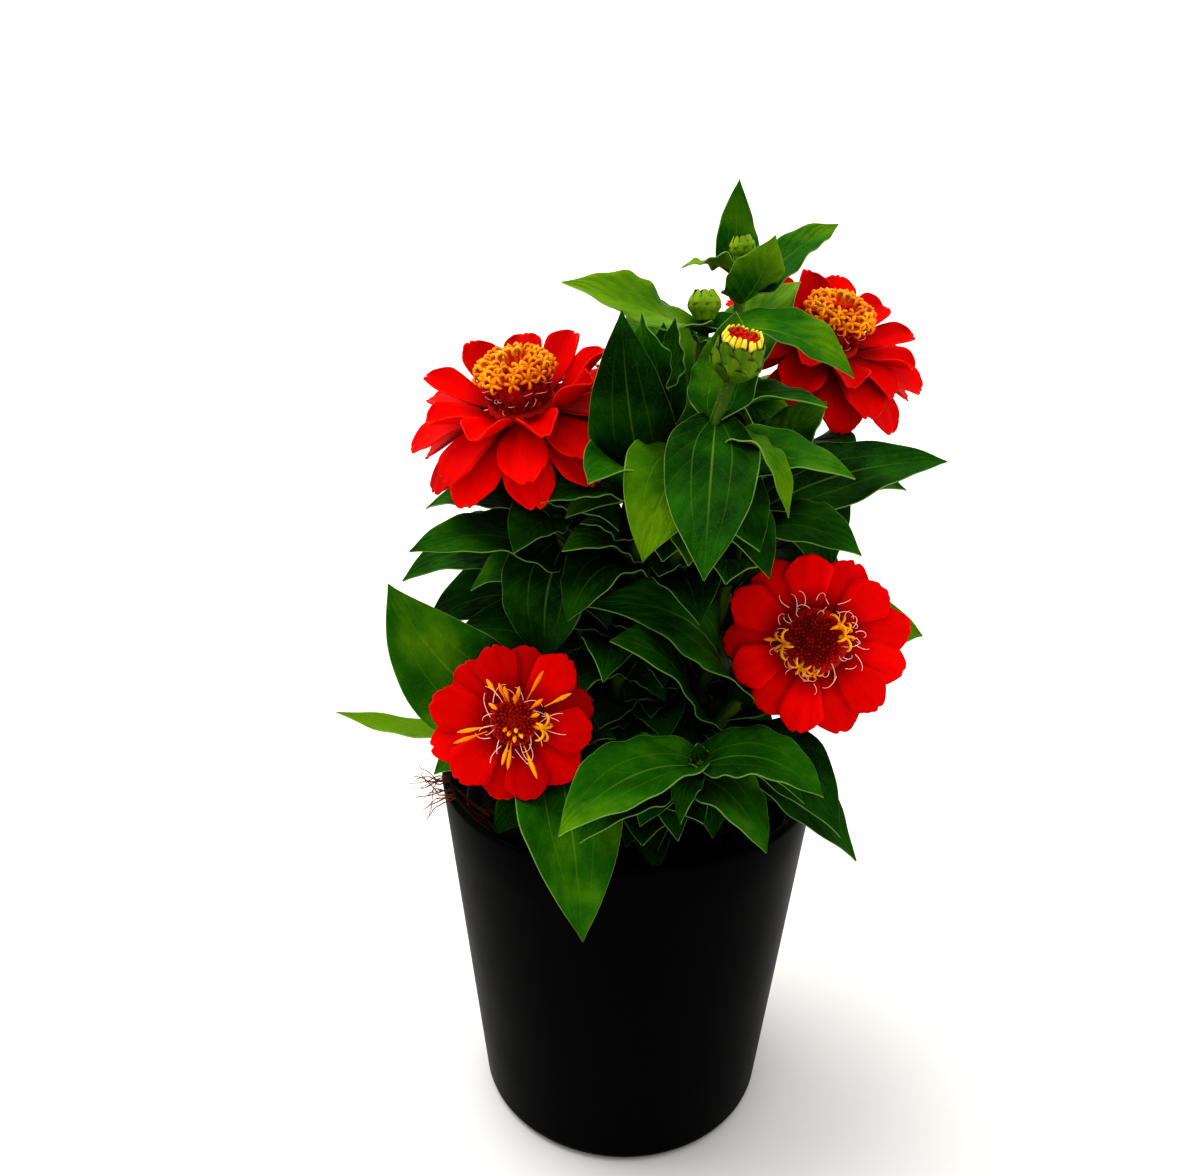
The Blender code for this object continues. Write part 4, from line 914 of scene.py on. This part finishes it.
def stalkPiece(stem, rng):
    look = stalkLook
    foot, neck = look["footRadius"], look["neckRadius"]
    curve = stemCurve(stem, look["steps"])
    line = [(Vector((*stem["foot"], growth["mixTop"] - growth["sunk"])), foot)]
    line += [(point, foot + (neck - foot) * (i / (len(curve) - 1))) for i, point in enumerate(curve)]
    stalk = sweptLines("stalk", [line], stalkMaterial, sides=3)
    # short white hairs stand out all round
    deselect()
    long = look["hairLength"] * mm
    bpy.ops.mesh.primitive_cone_add(vertices=3, radius1=look["hairRadius"] * mm, depth=long, end_fill_type="NOTHING")
    hair = bpy.context.object
    hair.data.transform(Matrix.Translation((0, 0, long / 2)))
    hair.data.materials.append(hairMaterial)
    places = []
    for i in range(look["hairs"]):
        k = rng.randrange(1, len(line) - 1)
        point, radius = line[k]
        ahead, t = line[k + 1][0], rng.random()
        tangent = (ahead - point).normalized()
        out = tangent.cross(Vector((rng.uniform(-1, 1), rng.uniform(-1, 1), rng.uniform(-1, 1)))).normalized()
        direction = (out + tangent * rng.uniform(-0.2, 0.4)).normalized()
        spot = point.lerp(ahead, t) + out * radius * 0.85
        places.append(aimed(spot, direction, 0))
    return [stalk, copiesOf("hairs", hair, places)]


def closedFloret():
    deselect()
    bpy.ops.mesh.primitive_uv_sphere_add(segments=7, ring_count=5, radius=mm)
    egg = bpy.context.object
    egg.data.materials.append(discMaterial)
    return egg


# buds and the green cups under the blooms are laid with rows of overlapping scales
scaleLook = {
    "along": 10, "across": 8, "thickness": 0.3, "overlap": 1.28, "rowShare": 0.84, "off": 0.3, "bulge": 0.4,
    "tuck": 0.2, "shadeSpread": 0.45, "rows": 3,
}
budLook = {"scales": 8, "span": 0.52, "lift": (0.2, 0.35), "pale": (-0.15, 0.95), "rays": 20, "eggs": 22}
cupLook = {"scales": 11, "span": 0.5, "lift": 0.3, "pale": 0}


def radiusAt(outline, z):
    for (r0, z0), (r1, z1) in zip(outline, outline[1:]):
        if z0 <= z <= z1 and z1 > z0:
            return r0 + (r1 - r0) * (z - z0) / (z1 - z0)
    return outline[-1][0]


def scaleRows(outline, count, span, lift, pale, rng):
    look, parts = scaleLook, []
    low, high = outline[0][1], outline[-1][1]
    for row in range(look["rows"]):
        start = low + (high - low) * (row / look["rows"]) * look["rowShare"]
        end = min(high, start + (high - low) * span)

        def place(s, t):
            # a broad scale with a rounded top that hugs the head, one side tucked under its neighbour
            z = start + (end - start) * s
            rounded = math.sqrt(max(0.0004, 1 - max(0.0, (s - 0.3) / 0.702) ** 2))
            angle = math.pi / count * look["overlap"] * rounded * t
            radius = radiusAt(outline, z) + look["off"] + lift * s ** 3
            radius += look["bulge"] * (1 - t * t) * (1 - 0.5 * s) + look["tuck"] * t
            return Vector((radius * math.cos(angle), radius * math.sin(angle), z))

        model = gridSheet("scale", look["along"], look["across"], look["thickness"], place, bractMaterial)
        turns = [360 / count * (k + 0.5 * (row % 2)) + rng.uniform(-2, 2) for k in range(count)]
        places = [Matrix.Rotation(math.radians(turn), 4, "Z") for turn in turns]
        tints = [pale + rng.uniform(0.0, look["shadeSpread"]) for k in turns]
        parts.append(copiesOf("scales", model, places, tints))
    return parts


def budPiece(name, rng):
    bud, look = buds[name], budLook
    length, crown = bud["length"], bud["crown"]
    r = bud["radius"] * (0.84 + 0.08 * crown)  # the scales make up the rest
    outline = [
        (2.2, -0.8), (r * 0.72, length * 0.14), (r * 0.97, length * 0.36), (r * 0.94, length * 0.6),
        (r * (0.52 + 0.36 * crown), length * 0.86), (r * (0.27 + 0.5 * crown), length),
    ]
    core = [(0, -1.0)] + [(max(0.3, a - 0.3), b) for a, b in outline[:-1]] + [(0, length * 0.9)]
    parts = [spunShape("core", core, 20, bractMaterial)]
    lift = look["lift"][0] + look["lift"][1] * crown
    pale = look["pale"][0] + look["pale"][1] * (1 - crown)
    parts += scaleRows(outline, look["scales"], look["span"], lift, pale, rng)
    if crown > 0.5:
        # upright yellow tips stand round a dark red middle
        rim = r * (0.3 + 0.46 * crown)

        def place(s, t):
            bulge = rim + 0.5 * math.sin(math.pi * s) - 0.4 * s ** 2 - 0.3 * t * t
            return Vector((bulge, 0.66 * t * (1 - 0.6 * s ** 4), length * 0.84 + 3.7 * s - 0.5 * t * t * s))

        model = gridSheet("ray", 6, 4, 0.5, place, crownMaterial)
        turns = [math.radians(360 / look["rays"] * k + rng.uniform(-4, 4)) for k in range(look["rays"])]
        places = [aimed(Vector(), up, turn, (1, 1, rng.uniform(0.94, 1.04))) for turn in turns]
        parts.append(copiesOf("rays", model, places, [rng.uniform(-0.1, 0.7) for turn in turns]))
        middle = [(0, length * 0.8), (rim - 0.7, length * 0.8), (rim * 0.8, length * 1.02), (0, length * 1.1)]
        parts.append(spunShape("middle", middle, 16, discMaterial))
        places = []
        for k in range(look["eggs"]):
            reach, turn = 0.95 * math.sqrt(k), goldenTurn * k
            spot = outwardOf(turn) * reach + up * (length * 1.1 - 0.16 * reach)
            places.append(aimed(spot, axisOf((turn, 6 * reach)), 0, (0.6, 0.6, 1.0)))
        parts.append(copiesOf("eggs", closedFloret(), places, [rng.uniform(0.6, 1.0) for spot in places]))
    return onHead(joinPieces("bud", parts), bud)


def cupPiece(name, rng):
    bloom, look = blooms[name], cupLook
    seat, depth = bloom["seat"], growth["cupDepth"]
    outline = [(2.4, -depth), (seat * 0.66, -depth * 0.72), (seat * 0.9, -depth * 0.38), (seat - 1.6, -0.3)]
    core = [(0, -depth)] + outline + [(0, -0.3)]
    parts = [spunShape("core", core, 24, bractMaterial)]
    parts += scaleRows(outline, look["scales"], look["span"], look["lift"], look["pale"], rng)
    return onHead(joinPieces("cup", parts), bloom)


# small leaves that grow between the large ones, low and deep in the plant, where nothing stands in their way
axilLook = {
    "seed": 23, "shares": (0.04, 0.1, 0.16, 0.22, 0.3, 0.38, 0.46, 0.54, 0.62, 0.7), "perShare": 4, "tries": 36,
    "reach": (16, 36), "along": 20, "across": 8, "clear": 40, "lowest": 118,
}


def treeOf(piece):
    mesh = piece.data
    return BVHTree.FromPolygons([v.co for v in mesh.vertices], [tuple(f.vertices) for f in mesh.polygons])


def hidesBloom(point):
    aways = [(point - Vector(bloom["head"]), axisOf(bloom["lean"])) for bloom in blooms.values()]
    return any(away.length < axilLook["clear"] and away.dot(axis) > -2 for away, axis in aways)


def axilLeaves(stem, standing, rng):
    look, found = axilLook, []
    curve = stemCurve(stem, 2)
    for share in look["shares"]:
        for k in range(look["perShare"]):
            for trial in range(look["tries"]):
                azimuth = rng.uniform(0, 360)
                reach = rng.uniform(*look["reach"])
                leaf = (
                    pointAlong(curve, share + rng.uniform(0, 0.06)), azimuth, reach, rng.uniform(-0.4, 0.6) * reach,
                    rng.uniform(0.1, 0.26) * reach, reach * rng.uniform(0.28, 0.36),
                    growth["roll"] * math.cos(math.radians(azimuth)), 0,
                    leafLook["cup"], leafLook["wave"] * rng.uniform(0.5, 1.1), rng.random(),
                )
                # a coarse sheet, without the foot that sits on the stalk, feels whether there is room
                place = leafPlace(leaf)
                points = [place(0.22 + 0.78 * i / 6, j / 2 - 1) * mm for i in range(7) for j in range(5)]
                corners = [5 * i + j for i in range(6) for j in range(4)]
                rough = BVHTree.FromPolygons(points, [(k, k + 1, k + 6, k + 5) for k in corners])
                if min(point.z for point in points) < look["lowest"] * mm:
                    continue
                if any(hidesBloom(point / mm) for point in points) or any(rough.overlap(o) for o in standing):
                    continue
                blade = leafPiece(leaf, rng, look)
                found.append(blade)
                standing.append(treeOf(blade))
                break
    return found


leavesOf = grownLeaves()
print("leaves found on the solids:", sum(len(leaves) for leaves in leavesOf.values()))
bitsOf, standing = {}, []
for node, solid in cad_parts.items():
    if not node.startswith("stem_"):
        standing.append(treeOf(solid))
for stemName, stem in stems.items():
    rng = random.Random("look " + stemName)
    bits = stalkPiece(stem, rng)
    # each listed leaf's own painted light or painted shade
    paintedLight = leafPaintedLightAndShade.get(stemName, {})
    bits += [leafPiece(leaf, rng, leafLook, paintedLight.get(i)) for i, leaf in enumerate(leavesOf[stemName])]
    if "bud" in stem:
        bits.append(budPiece(stem["bud"], rng))
    if "bloom" in stem:
        bits.append(cupPiece(stem["bloom"], rng))
    bitsOf[stemName] = bits
    standing += [treeOf(bit) for bit in bits if bit.name != "hairs"]
rng = random.Random(axilLook["seed"])
for stemName, stem in stems.items():
    small = axilLeaves(stem, standing, rng)
    print("small leaves on", stemName, len(small))
    finishPiece(joinPieces("leafyStem_" + stemName, bitsOf[stemName] + small), "stem_" + stemName)
print("leafy stems made")


# blooms: petals in layers, a disc of closed florets, and open star florets; ripe rows hold more and slimmer
# petals than the solids do
petalLook = {
    "thickness": 0.45, "along": 20, "across": 12, "steps": 24, "claw": 2.6, "firstRow": 0.85, "rowStep": 1.15,
    "ripeFill": 1.32, "ripeWidth": 0.8, "youngWidth": 1.03, "youngStep": 0.1, "seatInset": 1.0, "seatThick": 4.2,
    "innerCup": 0.2, "sway": 0.12, "notchWidth": 0.1, "ridge": 0.22, "ruffle": 0.5,
}
# an open floret's lobe runs along (distance out, height, thickness), a slim closed floret has a thickness at
# each share of its length
floretLook = {
    "tube": 3.4, "lobes": 5,
    "curl": ((0.3, -0.2, 0.5), (1.0, 0.5, 0.55), (1.9, 0.6, 0.6), (2.6, 0.05, 0.55), (2.65, -0.8, 0.45),
             (2.15, -1.35, 0.25)),
    "wide": ((0.3, -0.2, 0.36), (1.1, 0.6, 0.36), (2.1, 1.0, 0.42), (3.1, 0.9, 0.44), (3.8, 0.4, 0.36),
             (4.0, -0.3, 0.2)),
    "slim": ((0.0, 0.2), (0.25, 0.24), (0.42, 0.5), (0.65, 0.76), (0.88, 0.5), (1.0, 0.12)),
    "styleSteps": 8, "styleRadius": 0.15, "styleTaper": 0.008,
}
# ripe discs: a drum with rings of closed florets on its side and top, and rings of open florets over its
# rim, as (count, ring, lean, height)
ripeLook = {
    "sideRings": 4, "ringCount": 22, "topCount": 26, "styles": 26, "length": (2.5, 5), "curl": (12, 34),
    "open": ((14, 8.7, 62, 3.4), (12, 7.8, 36, 4.4), (7, 5.8, 18, 4.4)),
}


def petalPiece(bloom, petal, rng):
    look, ripe = petalLook, bloom["ripe"]
    seat, height, turn, length, halfWidth, rise, curl, cup = petal
    outward = outwardOf(turn)
    side = up.cross(outward)
    path = [(outward * (seat - look["claw"]) + up * height, up.copy())]
    point, steps = outward * seat + up * height, look["steps"]
    sway = rng.uniform(-look["sway"], look["sway"])
    # a notch near the middle of the tip and one at a side, as (where across, how deep)
    notches = [(rng.uniform(-0.12, 0.12), rng.uniform(0.03, 0.07))]
    notches.append((rng.choice((-0.55, 0.55)), rng.uniform(0.0, 0.05)))
    wobble, slope = rng.uniform(0, 6.28), rng.uniform(-0.035, 0.035)
    if ripe:
        # the innermost petals stand up and fold, no two alike
        inner = cup > look["innerCup"]
        fold = rng.uniform(0.1, 0.6) if inner else rng.uniform(0.0, 0.2)
        curl += rng.uniform(-30, 18) if inner else 0
    else:
        fold = -0.2
        length *= rng.uniform(0.93, 1.08)
    for i in range(steps + 1):
        s = i / steps
        angle = math.radians(rise - curl * s ** 1.2)
        along = outward * math.cos(angle) + up * math.sin(angle)
        if i:
            point = point + along * length / steps + side * sway * length / steps * s
        path.append((point.copy(), along.cross(side)))

    def place(s, t):
        # young petals are wedges with square tips, ripe ones are rounder on a slim claw
        tip = 1 - (0.11 if ripe else 0.2) * abs(t) ** 2.8 + slope * t
        tip -= sum(deep * math.exp(-((t - at) / look["notchWidth"]) ** 2) for at, deep in notches)
        k = min(1.0, s * tip) * (len(path) - 1)
        i = min(int(k), len(path) - 2)
        spot = path[i][0].lerp(path[i + 1][0], k - i)
        normal = path[i][1].lerp(path[i + 1][1], k - i)
        if ripe:
            width = halfWidth * look["ripeWidth"] * (0.3 + 0.7 * math.sin(min(1.0, s / 0.7) * math.pi / 2) ** 1.1)
            width *= 1 - 0.42 * max(0.0, (s - 0.74) / 0.26) ** 2.6
        else:
            width = halfWidth * look["youngWidth"] * (0.34 + 0.66 * min(1.0, s / 0.85) ** 0.8)
            width *= 1 - 0.32 * max(0.0, (s - 0.78) / 0.22) ** 2
        lift = (cup + fold * s) * width * t * t + look["ridge"] * math.cos(t * 8.2) * s
        lift += look["ruffle"] * math.sin(s * 7 + wobble + 1.4 * t) * s * abs(t)
        return spot + side * width * t + normal * lift

    tint = rng.uniform(*bloom["reds"])
    return gridSheet("petal", look["along"], look["across"], look["thickness"], place, petalMaterial, tint)


def petalList(bloom, name):
    look, ripe, rng = petalLook, bloom["ripe"], random.Random(name)
    petals = []
    total = sum(row[0] for row in bloom["rows"])
    for row, (count, turn, length, halfWidth, rise, curl, cup) in enumerate(bloom["rows"]):
        if ripe:
            count = round(count * look["ripeFill"])
        for k in range(count):
            # young petals all stand at one spacing, each a little above the last
            even = 360 * (2 * k + row) / total
            # the innermost ripe ones lie lower in front than behind
            facing = math.cos(math.radians(360 * k / count + turn + bloom["spin"] - bloom["lean"][0]))
            dip = (6 + 12 * facing) * (row == 2)
            petals.append((
                bloom["seat"], look["firstRow"] + look["rowStep"] * row + (0 if ripe else look["youngStep"] * k),
                (turn + 360 * k / count if ripe else even) + rng.uniform(-4, 4),
                length * rng.uniform(0.93, 1.05), halfWidth * rng.uniform(0.92, 1.06),
                rise - dip + bloom["loose"] * rng.uniform(-5, 5), curl + bloom["loose"] * rng.uniform(-8, 8),
                cup + rng.uniform(-0.04, 0.04),
            ))
    return petals


def starFloret(shape):
    # five fat lobes that spread from a slim tube and curl back
    look = floretLook
    lines = [[(up * -look["tube"], 0.45), (up * -0.9, 0.6), (up * 0.1, 0.85)]]
    for k in range(look["lobes"]):
        out = outwardOf(360 * k / look["lobes"])
        lines.append([(out * reach + up * level, thick) for reach, level, thick in look[shape]])
    return sweptLines("floret", lines, floretMaterial, sides=0)


def curlyStyle(spot, direction, length, curl, rng):
    # a thread that bends over and rolls up at its tip
    line, point, heading = [], spot.copy(), direction.normalized()
    axis = heading.cross(Vector((rng.uniform(-1, 1), rng.uniform(-1, 1), rng.uniform(-0.2, 0.2)))).normalized()
    steps = floretLook["styleSteps"]
    for i in range(steps + 1):
        line.append((point.copy(), floretLook["styleRadius"] - floretLook["styleTaper"] * i))
        heading = Matrix.Rotation(math.radians(curl * (0.3 + (i / steps) ** 2 * 1.6)), 3, axis) @ heading
        point = point + heading * length / steps
    return line


def buildRipe(name, bloom):
    look, rng = ripeLook, random.Random("disc " + name)
    radius, height = bloom["disc"]
    base = petalLook["seatThick"] + 0.3
    top = base + height
    drum = [(0, 0), (0.86, 0), (0.92, 0.33), (0.95, 0.7), (0.88, 1), (0.33, 1), (0.2, 1.24), (0, 1.3)]
    parts = [spunShape("drum", [(radius * r, base + height * z) for r, z in drum], 32, discMaterial)]
    places, tints = [], []
    for ring in range(look["sideRings"]):
        for k in range(look["ringCount"]):
            turn = 360 / look["ringCount"] * (k + 0.5 * (ring % 2)) + rng.uniform(-3, 3)
            spot = outwardOf(turn) * (radius * 0.93) + up * (base + height * (0.12 + 0.26 * ring))
            places.append(aimed(spot, axisOf((turn, 50)), 0, (0.85, 0.85, 1.5)))
            tints.append(rng.uniform(0.0, 0.7))
    for k in range(look["topCount"]):
        turn = k * 137.5
        spot = outwardOf(turn) * (0.62 * math.sqrt(k)) + up * (top + height * 0.22 - 0.05 * k)
        places.append(aimed(spot, axisOf((turn, 4 + k)), 0, (0.6, 0.6, 1.5)))
        tints.append(rng.uniform(0.1, 0.9))
    parts.append(copiesOf("eggs", closedFloret(), places, tints))
    lines = []
    for k in range(look["styles"]):
        turn = rng.uniform(0, 360)
        spot = outwardOf(turn) * (radius * 0.98) + up * (base + height * rng.uniform(0.15, 0.95))
        direction = axisOf((turn, rng.uniform(55, 100)))
        lines.append(curlyStyle(spot, direction, rng.uniform(*look["length"]), rng.uniform(*look["curl"]), rng))
    parts.append(sweptLines("styles", lines, styleMaterial))
    finishPiece(onHead(joinPieces("discClosed_" + name, parts), bloom), "disc_" + name)
    places, tints = [], []
    for count, ring, lean, tall in look["open"]:
        for k in range(count):
            turn = 360 * (k + rng.uniform(-0.22, 0.22)) / count
            direction = axisOf((turn + rng.uniform(-12, 12), lean + rng.uniform(-9, 9)))
            spot = outwardOf(turn) * (ring - 0.6) + up * (top + 0.8) + direction * tall * rng.uniform(0.85, 1.1)
            size = rng.uniform(0.8, 1.05)
            places.append(aimed(spot, direction, rng.uniform(0, 6), (size, size, 1.15)))
            tints.append(rng.uniform(0.0, 0.75))
    florets = copiesOf("openFlorets_" + name, starFloret("curl"), places, tints)
    finishPiece(onHead(florets, bloom), "ring_" + name)


# what opens in the young discs, as (azimuth in the picture, distance out, lean, size) for a star, and
# (azimuth, distance out, lean, length) for a slim closed floret
youngLook = {
    "right_low": {
        "stars": (
            (2, 8.6, 60, 1.0), (22, 8.2, 52, 0.95), (180, 8.6, 58, 1.05), (236, 8.6, 58, 0.85), (262, 9.2, 68, 0.6),
        ),
        "slim": ((172, 12.5, 84, 5.5), (246, 10.0, 74, 4)), "spread": 0.85,
        "eggs": 320, "eggSize": 0.54, "styles": 46, "reach": (0.9, 1.6), "length": (2.5, 6.5), "curl": (8, 36),
    },
    "left_low": {
        "stars": ((350, 7.8, 62, 0.95),), "spread": 0.95,
        "slim": (
            (20, 5.2, 40, 5.5), (42, 6.5, 50, 7), (64, 9.5, 76, 10), (92, 5.5, 40, 5.5), (110, 6.6, 52, 7),
            (127, 11.5, 78, 6), (148, 6.0, 64, 5), (194, 9.5, 84, 9.5), (203, 10.5, 85, 10.5), (258, 6.8, 76, 8),
            (266, 7.2, 80, 8.5), (296, 9.5, 84, 10.5), (30, 12.5, 86, 9), (250, 2.6, 40, 4), (300, 2.8, 46, 4.5),
            (275, 3.4, 50, 4.5), (285, 1.6, 30, 4), (225, 2.2, 40, 4), (86, 6.5, 60, 6), (116, 8.0, 64, 6.5),
        ),
        "eggs": 150, "eggSize": 0.5, "styles": 24, "reach": (0.7, 1.4), "length": (3.5, 9), "curl": (4, 20),
    },
}


def slimFloret():
    # a slim unopened floret of length 1: a spindle on a thread
    line = [(up * level, thick) for level, thick in floretLook["slim"]]
    return sweptLines("slim", [line], floretMaterial)


def buildYoung(name, bloom):
    look, spin, rng = youngLook[name], bloom["spin"], random.Random("disc " + name)
    radius, height = bloom["disc"][0] * look["spread"], bloom["disc"][1]
    base = petalLook["seatThick"] + 0.3
    dome = [(0, base)]
    for i in range(6):
        angle = math.pi / 2 * i / 6
        dome.append((radius * 0.9 * math.cos(angle), base + height * 0.9 * math.sin(angle)))
    dome.append((0, base + height * 0.9))
    parts = [spunShape("dome", dome, 28, discMaterial)]
    places, tints = [], []
    for k in range(look["eggs"]):
        share = math.sqrt((k + 0.5) / look["eggs"])
        angle, turn = math.pi / 2 * (1 - share), k * goldenTurn
        spot = outwardOf(turn) * radius * 0.96 * math.cos(angle) + up * (base + height * 0.96 * math.sin(angle))
        direction = (outwardOf(turn) * math.cos(angle) * height / radius + up * math.sin(angle) * 1.3).normalized()
        size = look["eggSize"] * (0.92 + 0.18 * share)
        places.append(aimed(spot, direction, 0, (size, size, size * rng.uniform(2.0, 3.4))))
        tints.append(0.1 + 0.55 * share + rng.uniform(-0.3, 0.3))
    parts.append(copiesOf("eggs", closedFloret(), places, tints))
    lines = []
    for k in range(look["styles"]):
        turn = 360 * (k + rng.uniform(-0.4, 0.4)) / look["styles"]
        spot = outwardOf(turn) * radius * rng.uniform(*look["reach"]) + up * (base + height * 0.3)
        direction = axisOf((turn + rng.uniform(-50, 50), rng.uniform(64, 86)))
        lines.append(curlyStyle(spot, direction, rng.uniform(*look["length"]), rng.uniform(*look["curl"]), rng))
    parts.append(sweptLines("styles", lines, styleMaterial))
    places = []
    for turn, out, lean, size in look["stars"]:
        direction = axisOf((turn - spin, lean))
        spot = outwardOf(turn - spin) * out * 0.8 + up * (base + height * 0.45) + direction * 2.8
        places.append(aimed(spot, direction, rng.uniform(0, 6), (1.2 * size, 1.2 * size, 1.3 * size)))
    parts.append(copiesOf("stars", starFloret("wide"), places, [rng.uniform(0.4, 0.9) for spot in places]))
    places = []
    for turn, out, lean, length in look["slim"]:
        spot = outwardOf(turn - spin) * out * 0.8 + up * (base + height * 0.4)
        places.append(aimed(spot, axisOf((turn - spin, lean)), 0, (1.0, 1.0, length)))
    parts.append(copiesOf("slim", slimFloret(), places, [rng.uniform(0.0, 0.9) for spot in places]))
    finishPiece(onHead(joinPieces("discYoung_" + name, parts), bloom), "disc_" + name)


for bloomName, bloom in blooms.items():
    rng = random.Random("petals " + bloomName)
    wide, thick = bloom["seat"] - petalLook["seatInset"], petalLook["seatThick"]
    seat = spunShape("seat", [(0, 0), (wide, 0), (wide, thick), (0, thick)], 28, petalMaterial)
    bits = [seat] + [petalPiece(bloom, petal, rng) for petal in petalList(bloom, bloomName)]
    petals = onHead(joinPieces("petalLayers_" + bloomName, bits), bloom)
    finishPiece(petals, "petals_" + bloomName)
    if bloom["ripe"]:
        buildRipe(bloomName, bloom)
    else:
        buildYoung(bloomName, bloom)
print("blooms made")


# studio: pale floor, white surroundings, one broad soft lamp above
# the camera's place and the floor are in metres; over each span of the way one looks, a brightness fades in
studioLook = {
    "floorSize": 30.0, "floor": "#dddbd8", "above": 1.12, "behind": 1.03, "cameraSide": 0.5,
    "sideSpan": (-0.75, 0.1), "aboveSpan": (0.45, 0.9), "horizonSpan": (0.02, 0.4),
    "keyFrom": (-0.35, 0.15, 1.0), "keySpread": 40, "keyStrength": 1.35,
    "camera": (-0.01065, -0.3364, 0.3257), "pitch": 20.9, "roll": 0.8, "lens": 32.394,
}


def buildStudio():
    look = studioLook
    deselect()
    bpy.ops.mesh.primitive_plane_add(size=look["floorSize"])
    floor = bpy.context.object
    floor.name = "paleFloor"
    # matt white paper: no gloss, a touch warm
    material, tree, shader = newMaterial("matt white paper", {"Base Color": srgb(look["floor"]), "Roughness": 0.9})
    floor.data.materials.append(material)
    scene = bpy.context.scene
    scene.world = bpy.data.worlds.new("white surroundings")
    scene.world.use_nodes = True
    tree = scene.world.node_tree
    tree.nodes["Background"].inputs[0].default_value = (1, 1, 1, 1)
    # bright above, behind and at the horizon, dim on the side where the camera's room is
    way = addNode(tree, "SeparateXYZ", links={0: addNode(tree, "TexCoord").outputs["Generated"]})
    fades = []
    for key, axis in (("sideSpan", 1), ("horizonSpan", 2), ("aboveSpan", 2)):
        low, high = look[key]
        span = {"interpolation_type": "SMOOTHSTEP", 1: low, 2: high}
        fades.append(addNode(tree, "MapRange", span, {0: way.outputs[axis]}))
    fades[0].inputs[3].default_value, fades[0].inputs[4].default_value = look["cameraSide"], look["behind"]
    level = addNode(tree, "Mix", {"data_type": "FLOAT", 2: look["behind"]}, {0: fades[1], 3: fades[0]})
    level = addNode(tree, "Mix", {"data_type": "FLOAT", 3: look["above"]}, {0: fades[2], 2: level})
    tree.links.new(level.outputs[0], tree.nodes["Background"].inputs[1])
    lamp = bpy.data.lights.new("broad soft lamp", "SUN")
    lamp.energy, lamp.angle = look["keyStrength"], math.radians(look["keySpread"])
    lampObject = bpy.data.objects.new("broad soft lamp", lamp)
    scene.collection.objects.link(lampObject)
    lampObject.location = look["keyFrom"]
    lampObject.rotation_euler = Vector(look["keyFrom"]).to_track_quat("Z", "Y").to_euler()
    camera = bpy.data.cameras.new("front camera")
    camera.lens, camera.sensor_width, camera.clip_start = look["lens"], 36, 0.01
    cameraObject = bpy.data.objects.new("front camera", camera)
    scene.collection.objects.link(cameraObject)
    pitch, roll = math.radians(look["pitch"]), math.radians(look["roll"])
    ahead = Vector((0, math.cos(pitch), -math.sin(pitch)))
    right, top = Vector((1, 0, 0)), Vector((0, math.sin(pitch), math.cos(pitch)))
    tilted = (right * math.cos(roll) + top * math.sin(roll), top * math.cos(roll) - right * math.sin(roll), -ahead)
    turned = Matrix(tilted).transposed().to_4x4()
    cameraObject.matrix_world = Matrix.Translation(look["camera"]) @ turned
    bpy.context.scene.camera = cameraObject
    scene.view_settings.view_transform = "Standard"
    scene.view_settings.look = "High Contrast"


buildStudio()
print("studio made")

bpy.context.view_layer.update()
